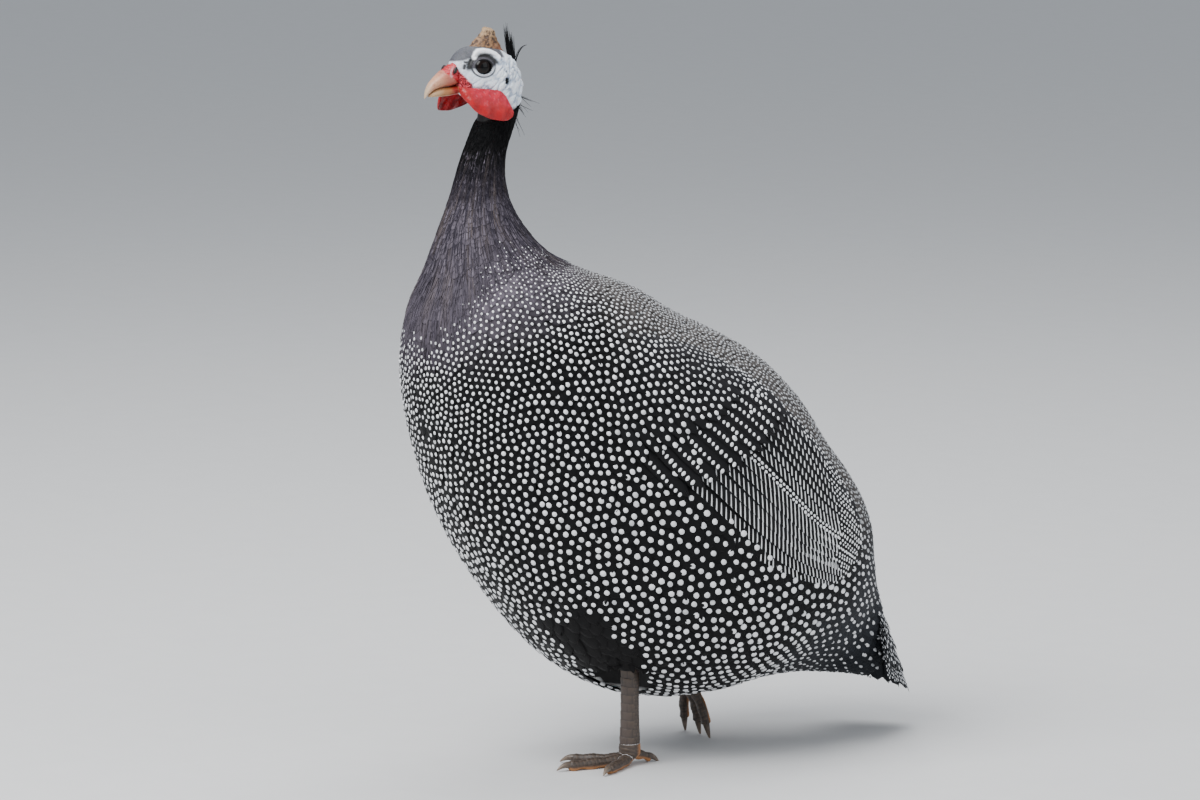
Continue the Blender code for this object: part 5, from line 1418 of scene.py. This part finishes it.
neck_hairs = []
for title, first, last, row_step, side_step, reach, width, seed in (("upper", 8.3, 12.3, 0.052, 1.05, 0.9, 0.3, 201),
                                                                    ("lower", 11.4, 16.1, 0.12, 1.8, 0.8, 0.42, 203)):
    rng = np.random.default_rng(seed)
    t, turn = row_places(first, last, row_step, lambda t: side_step, seed + 1)
    throat = degrees_down(turn)
    keep = t > 8.45 + 0.55 * ease(10, 60, throat) + 0.2 * ease(100, 160, throat)
    keep &= t < 14.4 + 1.9 * ease(95, 170, throat) + 0.35 * ease(100, 30, throat)
    t, turn = t[keep], turn[keep]
    count = len(t)
    paths = bed_paths(t, turn, reach * rng.uniform(0.8, 1.2, count), rng.uniform(-0.08, 0.08, count),
                      rng.uniform(0.02, 0.34, count) ** 1.2, 5)
    radii = np.array([0.9, 1.0, 0.9, 0.6, 0.2]) * width * MM * rng.uniform(0.75, 1.2, (count, 1))
    root = np.stack([turn / (2 * math.pi) % 1.0 * 0.992 + 0.004, t / TAIL_END * 0.9], -1)
    streak = noise(np.stack([turn * 7, t * 0.5, t * 0], -1), 205)
    tone = ease(10.9, 12.4, t + 0.35 * streak)
    tint = blend(linear("#050507"), blend(linear("#35313b"), linear("#5a5150"), ease(-0.1, 0.7, streak)), tone)
    tint = blend(tint, linear("#5c5660"), 0.6 * ease(13.4, 15.2, t))
    neck_hairs.append(hair_piece(f"neck_hair_{title}", paths, radii, root, tint * rng.uniform(0.75, 1.25, (count, 1))))

wisp_t = rng.uniform(8.9, 10.6, 24)
wisp_turn = rng.normal(0, 0.4, 24)
paths = bed_paths(wisp_t, wisp_turn, rng.uniform(0.2, 0.9, 24), rng.uniform(-0.1, 0.1, 24), rng.uniform(3.0, 12.0, 24))
radii = np.array([0.2, 0.2, 0.18, 0.15, 0.11, 0.05]) * MM * rng.uniform(0.7, 1.1, (24, 1))
root = np.stack([wisp_turn / (2 * math.pi) % 1.0 * 0.992 + 0.004, wisp_t / TAIL_END * 0.9], -1)
wisps = hair_piece("nape_wisps", paths, radii, root, np.tile(linear("#060608"), (24, 1)))

count = 130
share = rng.uniform(0, 1, count)
height = 25.5 * (1 - 0.15 * share) * rng.uniform(0.4, 1.0, count) ** 0.7
s = np.linspace(0, 1, 6)[None, :]
fan = rng.uniform(-1.0, 1.3, count)[:, None]
wide = rng.uniform(-2.2, 2.2, count)[:, None]
lean = 4.0 * (height / 25.5)[:, None]
crest_paths = from_eye(wide * (1 + 0.5 * s**2), (-25.6 - 3.8 * share)[:, None] + lean * s**0.8 + fan * s,
                       (1.2 - 4.6 * share)[:, None] + height[:, None] * s)
curl = np.array([(0.4, -28.6, -1.0), (0.8, -29.6, 3.4), (1.0, -31.0, 6.6), (1.2, -32.8, 9.2), (1.4, -34.8, 10.6), (1.5, -36.6, 10.9)])
crest_paths[:3] = from_eye(*(curl[None] + rng.uniform(-0.5, 0.5, (3, 1, 3)) * [1, 1.5, 1.5]).transpose(2, 0, 1))
radii = np.array([0.26, 0.25, 0.22, 0.17, 0.11, 0.04]) * MM * rng.uniform(0.7, 1.2, (count, 1))
root = np.tile([0.01, 7.0 / TAIL_END * 0.9], (count, 1)) + rng.uniform(0, 0.01, (count, 2))
crest = hair_piece("crest_tuft", crest_paths, radii, root, np.tile(linear("#0a0a0c"), (count, 1)) * rng.uniform(0.6, 1.5, (count, 1)), 6)

# %% [markdown]
# ## Feathers round the legs
# Short loose dark feathers, more down than vane, line the thighs and the opening and point along the leg.

# %% Feather the thighs
def limb_tufts(bed, first, last, row_step, per_row, reach, half, seed, low=-0.6, high=1.6):
    """Rings of short vanes on a limb, from its upper end down."""
    rng = np.random.default_rng(seed)
    rows = np.arange(first, last, row_step)
    t = np.repeat(rows, per_row) + rng.uniform(-0.05, 0.05, len(rows) * per_row)
    turn = (np.tile(np.arange(per_row), len(rows)) + 0.5 * np.repeat(np.arange(len(rows)) % 2, per_row)
            + rng.uniform(-0.2, 0.2, len(t))) * 2 * math.pi / per_row
    end = np.stack([t + reach * rng.uniform(0.8, 1.15, len(t)), turn + rng.uniform(-0.15, 0.15, len(t))], -1)
    crowd = Vanes(bed, np.stack([t, turn], -1), end, half * rng.uniform(0.85, 1.15, len(t)), low, high, camber=0.3,
                  tilt=rng.uniform(-0.2, 0.2, len(t)), blunt=0.7)
    crowd.tint = DARK_DOWN * rng.uniform(0.7, 1.5, (len(t), 1))
    return crowd


walls = [limb_bed(LEFT_HOLLOW, 2, True), limb_bed(RIGHT_HOLLOW, 3, True)]
tufts = []
for n, side_name in enumerate(("left", "right")):
    for title, bed, first, last, per_row, reach, half, high in (("thigh", THIGHS[n], 3.6, 5.8, 15, 0.7, 2.6, 1.2),
                                                                 ("opening", walls[n], 0.0, 1.35, 22, 0.5, 2.4, 0.3)):
        crowd = limb_tufts(bed, first, last, 0.25, per_row, reach, half, 210 + n, high=high)
        tufts.append(vane_piece(f"down_{title}_{side_name}", crowd, S_BODY, W_BODY, crowd.tint, 215 + n, 0.12))

# %% [markdown]
# ## Legs and feet
# A guinea fowl's tarsus is covered with horny plates: two rows of large ones down the front, small net-like
# scales behind. Each toe has plates across its top and soft pads underneath. Shank, ankle and toes are closed
# tubes whose plates are pushed out along the normal, and one Boolean step joins them into one leg.

# %% Build the legs
SHANK_FLAT = 0.8
ANKLE_REACH = 6.5
CLAW_LENGTH = 11.0
SHANK_SHARES = (0, 0.05, 0.14, 0.3, 0.55, 0.78, 0.9, 0.97, 1.03, 1.12)
SHANK_RADII = (6.6, 6.7, 6.3, 6.0, 5.9, 6.1, 6.6, 6.6, 5.4, 4.6)
LEFT_FOOT = {"joint": (34, -3, 7.5), "hock": (34, -3, 84), "stands": True, "drop": 2.2, "lift": 1.1, "toes": (
    (((34, -3, 6.5), (34, 8, 4), (33, 24, 3.5), (32, 41, 3.3)), 4.0),
    (((34, -3, 6.5), (28, 5, 4), (19, 16, 3.4), (11, 26, 3.2)), 3.8),
    (((34, -3, 6.5), (40, 5, 4), (48, 16, 3.4), (55, 25, 3.2)), 3.8),
    (((34, -3, 8), (33, -11, 6), (32, -19, 3.4)), 3.2))}
RIGHT_FOOT = {"joint": (-34, -84, 36), "hock": (-37, -40, 98), "stands": False, "drop": 2.0, "lift": 0.0, "toes": (
    (((-34, -84, 36), (-34, -89, 28), (-34, -92.5, 18), (-34, -94, 8.6)), 3.9),
    (((-34, -84, 36), (-27, -87.5, 29), (-22, -90.5, 18), (-20, -92, 8.6)), 3.6),
    (((-34, -84, 36), (-41, -87.5, 29), (-46, -90.5, 18), (-48, -92, 8.6)), 3.6),
    (((-34, -84, 38), (-34, -92.5, 39), (-34, -99, 35)), 3.1))}


def plates(along, across, length, width):
    """Overlapping plates: within each, the height climbs from 0 at its root to 1 at its free edge and drops
    there, and a groove runs between neighbours. along and across are in millimetres."""
    row = along / length
    rise = row % 1.0
    column = across / width + 0.5 * (np.floor(row) % 2)
    groove = np.abs((column + 0.5) % 1.0 - 0.5) * width
    return ease(0, 0.12, rise) * (0.35 + 0.65 * rise) * ease(0.0, 0.5, groove)


def limb_rings(path, radii, top, around, scale_size, flat=1.0, pads=0.0):
    """A scaly tube: turn 0 looks along top, large plates cover the half that looks that way and small scales
    the rest. With pads, the underside swells once a toe bone."""
    along = unit(np.gradient(path, axis=0))
    side = unit(np.cross(along, top))
    upper = np.cross(side, along)
    length = np.concatenate([[0], np.cumsum(np.linalg.norm(np.diff(path, axis=0), axis=1))]) / MM
    turn = (np.arange(around) + 0.5) * 2 * math.pi / around
    way = np.cos(turn)[None, :, None] * upper[:, None] + np.sin(turn)[None, :, None] * side[:, None] * flat
    arc = ((turn + math.pi) % (2 * math.pi) - math.pi)[None, :] * np.mean(radii)
    along_mm = np.broadcast_to(length[:, None], (len(path), around))
    front = np.cos(turn)[None, :]
    large = plates(along_mm + 0.12 * np.abs(arc), arc + 0.5 * scale_size, scale_size, np.mean(radii) * 1.25)
    small = plates(along_mm, arc, scale_size * 0.42, scale_size * 0.42)
    where = ease(-0.15, 0.1, front)
    height = (large * 0.42 * where + small * 0.2 * (1 - where)) * (0.6 + 0.4 * np.mean(radii) / 6)
    under = ease(0.2, 0.9, -front)
    height = height + pads * under * (0.5 - 0.5 * np.cos(2 * math.pi * along_mm / 11.5)) * 0.8
    rings = path[:, None] + way * ((radii[:, None] + height) * MM)[..., None]
    return rings, height, large * where + small * (1 - where), front + 0 * height, along_mm


def foot_piece(name, spec, hand):
    """Shank, ankle and toes of one foot, closed and joined, coloured from dark scales to pale plates."""
    joint, hock = np.array(spec["joint"], float), np.array(spec["hock"], float)
    way = (hock - joint) / np.linalg.norm(hock - joint)
    ahead_dir = np.array([0, -1.0, 0])
    start = joint + way * ANKLE_REACH
    s = np.linspace(0, 1.12, 210)
    line = start + (hock - start) * s[:, None]
    parts = [limb_rings(place(*line.T), np.interp(s, SHANK_SHARES, SHANK_RADII), ahead_dir, 56, 5.4, SHANK_FLAT)]
    palm_s = np.linspace(-0.45, 1.0, 40)
    line = joint + way * (palm_s * ANKLE_REACH)[:, None]
    radii = np.interp(palm_s, (-0.45, 0, 0.55, 1), (4.2, 6.6, 6.8, 6.6))
    parts.append(limb_rings(place(*line.T), radii, ahead_dir, 48, 2.6))
    tips = []
    for path, thick in spec["toes"]:
        path = np.array(path, float)
        t = np.linspace(0, len(path) - 1, 130)
        fine = spline(path, t)
        radii = thick * (1 - 0.2 * t / t[-1]) * (1 + 0.09 * np.cos(2 * math.pi * t))
        radii = radii * np.sqrt(np.clip(1 - ((t / t[-1] - 0.94) / 0.062).clip(0) ** 2, 0.02, 1))
        top = np.array([0, 0, 1.0]) if spec["stands"] else np.array([0, -1.0, 0.3])
        parts.append(limb_rings(place(*fine.T), radii - 0.25, top, 36, 2.7, pads=1.0))
        tips.append((fine[-1], unit(fine[-1] - fine[-6])))
    solids = []
    for n, (rings, height, lift, front, along) in enumerate(parts):
        rings[..., 2] = np.maximum(rings[..., 2], 0.0)
        dark = blend(linear("#2b2421"), linear("#53453a"), np.clip(lift, 0, 1))
        dark = dark * (1 + 0.25 * noise(rings / (3 * MM), 231))[..., None]
        if n == 0:
            low = 1 - ease(18, 52, along + 8 * noise(rings / (9 * MM), 232))
            # the pale lower front plates are the leg's own colour, painted weaker on the lifted leg as painted shade
            pale = low * ease(0.1, 0.75, front) * (0.9 if spec["stands"] else 0.35)
            dark = blend(dark, linear("#4a3e38"), pale * (0.25 + 0.75 * ease(0.2, 0.5, lift)))
        sole = ease(0.15, 0.7, -front) * (n > 0)
        if not spec["stands"]:
            sole = np.maximum(sole, (n == 0) * ease(0.2, 0.8, -front) * (1 - ease(4, 30, along)))
        dark = blend(dark, linear("#b57a45"), sole * 0.8)
        points, faces = tube_faces(rings[None])
        solids.append(put(f"{name}_{n}", points, faces, fields={"tint": dark.reshape(-1, 3)}))
    piece = combine(solids[0], solids[1:], "UNION")
    piece.name = piece.data.name = name
    return piece, tips


def claw_piece(name, tips, spec):
    """Claws: a path from each toe's end along its way that drops with the square of its share, and tapers."""
    k = np.linspace(0, 1, 30)[:, None]
    down = np.array([0, 0, -1.0]) if spec["stands"] else np.array([0, -0.35, -1.0])
    paths, radii = [], []
    for last, way in tips:
        path = last - way * 3 + way * CLAW_LENGTH * k + down * spec["drop"] * k**2
        path[:, 2:] += spec["lift"] * np.sin(math.pi * k)
        paths.append(place(*path.T))
        radii.append(np.interp(k[:, 0], (0, 0.33, 0.66, 1), (2.5, 2.1, 1.4, 0.35)) * MM)
    rings = tube_rings(np.array(paths), np.array(radii), 24)
    rings[..., 2] = np.maximum(rings[..., 2], 0.0)
    share = np.broadcast_to(k[None, :, :, None], rings.shape[:3] + (1,))[..., 0]
    colour = blend(linear("#2a211d"), linear("#8d7b6a"), share * 0.8 + 0.2 * noise(rings / (2 * MM), 235))
    points, faces = tube_faces(rings)
    return put(name, points, faces, fields={"tint": colour.reshape(-1, 3)})


legs, claws = [], []
for side_name, spec, hand in (("left", LEFT_FOOT, 1), ("right", RIGHT_FOOT, -1)):
    leg, tips = foot_piece(f"leg_{side_name}_scales", spec, hand)
    legs.append(leg)
    claws.append(claw_piece(f"claws_{side_name}_horn", tips, spec))
print("leg faces:", [len(piece.data.polygons) for piece in legs])

# %% [markdown]
# ## Finishes
# Every piece carries its markings in a colour attribute, tint, so the finishes add what the eye reads as
# stuff: barbs on the vanes, grain on horn, pores and wrinkles on skin, and the gloss of each. A pattern that
# follows a feather reads the vane's own lie map, and the others read Object coordinates in metres.

# %% A helper for nodes
def add(tree, kind, inputs=(), **settings):
    """Adds one node with its settings, and sets each named input or links it when the value is a socket."""
    node = tree.nodes.new("ShaderNode" + kind)
    for title, value in settings.items():
        setattr(node, title, value)
    for title, value in dict(inputs).items():
        if isinstance(value, bpy.types.NodeSocket):
            tree.links.new(value, node.inputs[title])
        else:
            node.inputs[title].default_value = value
    return node


def new_material(name):
    material = bpy.data.materials.new(name)
    material.use_nodes = True
    material.node_tree.nodes.clear()
    return material, material.node_tree


# %% [markdown]
# ## Feather keratin
# A vane is a sheet of barbs that leave the shaft at a slant, matt black or grey, with a soft sheen where the
# barbs catch the light. Real barbs stand 0.2 mm apart, drawn here at 0.5 mm so that they show.

# %% Vane keratin
def vane_keratin(name, roughness, sheen, gain):
    material, tree = new_material(name)
    tint = add(tree, "Attribute", attribute_name="tint")
    lie = add(tree, "SeparateXYZ", {"Vector": add(tree, "UVMap", uv_map="lie").outputs[0]})
    across = add(tree, "Math", {0: lie.outputs[0]}, operation="ABSOLUTE")
    slant = add(tree, "Math", {0: across.outputs[0], 1: -1.2, 2: lie.outputs[1]}, operation="MULTIPLY_ADD")
    turns = add(tree, "Math", {0: slant.outputs[0], 1: 2 * math.pi / (0.5 * MM)}, operation="MULTIPLY")
    barbs = add(tree, "Math", {0: turns.outputs[0]}, operation="SINE")
    place_now = add(tree, "TexCoord").outputs["Object"]
    fray = add(tree, "TexNoise", {"Vector": place_now, "Scale": 900.0, "Detail": 3.0})
    height = add(tree, "Math", {0: barbs.outputs[0], 1: 0.35, 2: fray.outputs["Fac"]}, operation="MULTIPLY_ADD")
    bump = add(tree, "Bump", {"Height": height.outputs[0], "Strength": 0.35, "Distance": 0.12 * MM})
    shaft = add(tree, "MapRange", {"Value": across.outputs[0], "From Min": 0.15 * MM, "From Max": 0.4 * MM,
                                   "To Min": 1.5, "To Max": 1.0})
    shade = add(tree, "MapRange", {"Value": height.outputs[0], "From Min": 0.1, "From Max": 0.9,
                                   "To Min": 0.75, "To Max": gain})
    shade = add(tree, "Math", {0: shade.outputs[0], 1: shaft.outputs[0]}, operation="MULTIPLY")
    colour = add(tree, "VectorMath", {0: tint.outputs["Color"], "Scale": shade.outputs[0]}, operation="SCALE")
    rough = add(tree, "MapRange", {"Value": fray.outputs["Fac"], "To Min": roughness - 0.1, "To Max": roughness + 0.12})
    shader = add(tree, "BsdfPrincipled", {"Base Color": colour.outputs[0], "Roughness": rough.outputs[0],
                                          "Normal": bump.outputs[0], "IOR": 1.54, "Sheen Weight": sheen,
                                          "Sheen Roughness": 0.5, "Specular IOR Level": 0.14})
    add(tree, "OutputMaterial", {"Surface": shader.outputs[0]})
    return material


BLACK_KERATIN = vane_keratin("black_feather_keratin", 0.62, 0.015, 1.25)
FLIGHT_KERATIN = vane_keratin("flight_feather_keratin", 0.55, 0.01, 1.25)
DOWN_KERATIN = vane_keratin("loose_down_keratin", 0.8, 0.02, 1.3)


# %% [markdown]
# ## Skin, horn and scales
# One shape of finish serves the rest: the tint, darkened and lightened by a fine noise, a bump of pores or
# grain at a real size, and each stuff's own roughness, gloss and depth of light under its surface.

# %% Skin, horn, scales and eyes
def grained(name, grain, bump_depth, roughness, spread=0.12, contrast=0.2, cells=0.0, stretch=(1, 1, 1), **sockets):
    """grain is the size in millimetres of the main unevenness, and cells the size of pebbles, where there are any."""
    material, tree = new_material(name)
    tint = add(tree, "Attribute", attribute_name="tint")
    place_now = add(tree, "Mapping", {"Vector": add(tree, "TexCoord").outputs["Object"], "Scale": stretch}).outputs[0]
    fine = add(tree, "TexNoise", {"Vector": place_now, "Scale": 1000 / grain, "Detail": 5.0, "Roughness": 0.6})
    height = fine.outputs["Fac"]
    if cells:
        pebbles = add(tree, "TexVoronoi", {"Vector": place_now, "Scale": 1000 / cells}, feature="SMOOTH_F1")
        height = add(tree, "Math", {0: pebbles.outputs["Distance"], 1: -0.8, 2: height}, operation="MULTIPLY_ADD").outputs[0]
    bump = add(tree, "Bump", {"Height": height, "Strength": 0.6, "Distance": bump_depth * MM})
    shade = add(tree, "MapRange", {"Value": fine.outputs["Fac"], "From Min": 0.25, "From Max": 0.75,
                                   "To Min": 1 - contrast, "To Max": 1 + contrast})
    colour = add(tree, "VectorMath", {0: tint.outputs["Color"], "Scale": shade.outputs[0]}, operation="SCALE")
    rough = add(tree, "MapRange", {"Value": fine.outputs["Fac"], "From Min": 0.3, "From Max": 0.7,
                                   "To Min": roughness - spread, "To Max": roughness + spread})
    values = {"Base Color": colour.outputs[0], "Roughness": rough.outputs[0], "Normal": bump.outputs[0]}
    values.update({title.replace("_", " "): value for title, value in sockets.items()})
    shader = add(tree, "BsdfPrincipled", values)
    add(tree, "OutputMaterial", {"Surface": shader.outputs[0]})
    return material


BARE_SKIN = grained("bare_face_skin", 0.7, 0.12, 0.6, cells=0.9, contrast=0.12,
                    Subsurface_Weight=0.12, Subsurface_Radius=(1.0, 0.6, 0.5), Subsurface_Scale=1.2 * MM)
CASQUE_HORN = grained("rough_casque_horn", 0.6, 0.2, 0.62, contrast=0.22, stretch=(1, 1, 0.6), IOR=1.54)
BILL_HORN = grained("smooth_bill_horn", 0.5, 0.05, 0.42, contrast=0.12, stretch=(1, 0.3, 1), IOR=1.54)
WATTLE_SKIN = grained("waxy_wattle_skin", 0.6, 0.12, 0.42, contrast=0.14, cells=0.7,
                      Subsurface_Weight=0.25, Subsurface_Radius=(1.0, 0.25, 0.2), Subsurface_Scale=2.0 * MM)
SPOT_KERATIN = grained("white_spot_keratin", 0.4, 0.1, 0.6, contrast=0.1, IOR=1.54)
HAIR_KERATIN = grained("black_hair_keratin", 0.4, 0.05, 0.55, contrast=0.25, IOR=1.54, Specular_IOR_Level=0.16)
LEG_SCALES = grained("horny_leg_scales", 0.5, 0.12, 0.52, contrast=0.25, cells=0.8, IOR=1.54)
CLAW_HORN = grained("worn_claw_horn", 0.4, 0.08, 0.42, contrast=0.2, stretch=(1, 0.4, 0.4), IOR=1.54)
EYE_GLOSS = grained("wet_eye_cornea", 1.2, 0.01, 0.1, spread=0.03, contrast=0.3, Specular_IOR_Level=0.35, IOR=1.376)

# %% [markdown]
# ## Each piece in its place
# Every piece gets its finish, rides on the one body, and names the solids whose place it takes.

# %% Finish, ride and replace
for pieces, material, slot, nodes in (
        ([skin], BARE_SKIN, "bare_skin", ("head", "neck_upper", "neck_lower", "torso", "thigh_left", "thigh_right")),
        ([casque], CASQUE_HORN, "casque_horn", ("casque",)),
        ([bill_top], BILL_HORN, "bill_horn", ("bill_upper",)),
        ([bill_low], BILL_HORN, "bill_horn", ("bill_lower",)),
        (eyes, EYE_GLOSS, "eye_glass", ("eye_left", "eye_right")),
        (wattles, WATTLE_SKIN, "wattle_skin", ("wattle_left", "wattle_right")),
        ([crest], HAIR_KERATIN, "black_feathers", ("crest",)),
        ([*neck_hairs, wisps], HAIR_KERATIN, "black_feathers", ()),
        (coat, BLACK_KERATIN, "spotted_feathers", ()),
        (wings, FLIGHT_KERATIN, "barred_feathers", ("wing_left", "wing_right")),
        (tail, FLIGHT_KERATIN, "spotted_feathers", ("tail",)),
        (tufts, DOWN_KERATIN, "black_feathers", ()),
        (spots, SPOT_KERATIN, "spotted_feathers", ()),
        (legs[:1], LEG_SCALES, "leg_scales", ("leg_left", "foot_left")),
        (legs[1:], LEG_SCALES, "leg_scales", ("leg_right", "foot_right")),
        (claws, CLAW_HORN, "leg_scales", ())):
    for piece in pieces:
        piece.data.materials.clear()
        piece.data.materials.append(material)
        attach(piece, "root")
    if len(nodes) == len(pieces):
        for piece, node in zip(pieces, nodes):
            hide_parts(node)
    elif nodes:
        mine = [[node for node in nodes if len(pieces) == 1 or node.split("_")[-1] in piece.name] for piece in pieces]
        for piece, own in zip(pieces, mine):
            if own:
                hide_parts(*own)
total = sum(len(piece.data.loop_triangles) for piece in bpy.data.objects if piece.type == "MESH")
print("triangles in the scene:", total)

# %% [markdown]
# ## Floor and studio light
# The bird stands on a wide plain pale floor with nothing behind it, so it can be seen from every side, under a
# large soft lamp from the camera's left and above, a weaker one from the right, and an even pale world.

# %% Floor, light and finish
wide = np.linspace(-16, 16, 33)
points = np.stack([*np.meshgrid(wide, wide), np.zeros((33, 33))], -1)
corner = np.arange(32)[:, None] * 33 + np.arange(32)[None, :]
faces = np.stack([corner, corner + 1, corner + 34, corner + 33], -1).reshape(-1, 4)
floor = put("studio_floor", points.reshape(-1, 3), faces)
material, tree = new_material("matt_painted_board")
tone = add(tree, "TexNoise", {"Vector": add(tree, "TexCoord").outputs["Object"], "Scale": 40.0, "Detail": 4.0})
shade = add(tree, "MapRange", {"Value": tone.outputs["Fac"], "To Min": 0.66, "To Max": 0.70})
rough = add(tree, "MapRange", {"Value": tone.outputs["Fac"], "To Min": 0.8, "To Max": 0.9})
shader = add(tree, "BsdfPrincipled", {"Base Color": add(tree, "CombineColor", {n: shade.outputs[0] for n in range(3)}).outputs[0],
                                      "Roughness": rough.outputs[0]})
add(tree, "OutputMaterial", {"Surface": shader.outputs[0]})
floor.data.materials.append(material)

world = bpy.data.worlds.new("studio")
world.use_nodes = True
world.node_tree.nodes["Background"].inputs["Color"].default_value = (0.86, 0.92, 1.0, 1)
world.node_tree.nodes["Background"].inputs["Strength"].default_value = 0.55
bpy.context.scene.world = world
for name, azimuth, elevation, far, size, power in (("key", 15, 48, 2.2, 1.5, 70), ("fill", 115, 25, 2.4, 2.0, 16),
                                                    ("top", 230, 65, 2.2, 1.6, 30)):
    lamp = bpy.data.lights.new(name, "AREA")
    lamp.size, lamp.energy = size, power
    a, e = math.radians(azimuth), math.radians(elevation)
    way = np.array([math.sin(a) * math.cos(e), -math.cos(a) * math.cos(e), math.sin(e)])
    across = unit(np.cross([0, 0, 1.0], way))
    above = np.cross(way, across)
    at = np.array([0, 0, 0.22]) + way * far
    lamp_object = bpy.data.objects.new(name, lamp)
    lamp_object.matrix_world = Matrix([[across[i], above[i], way[i], at[i]] for i in range(3)] + [[0, 0, 0, 1]])
    bpy.context.scene.collection.objects.link(lamp_object)
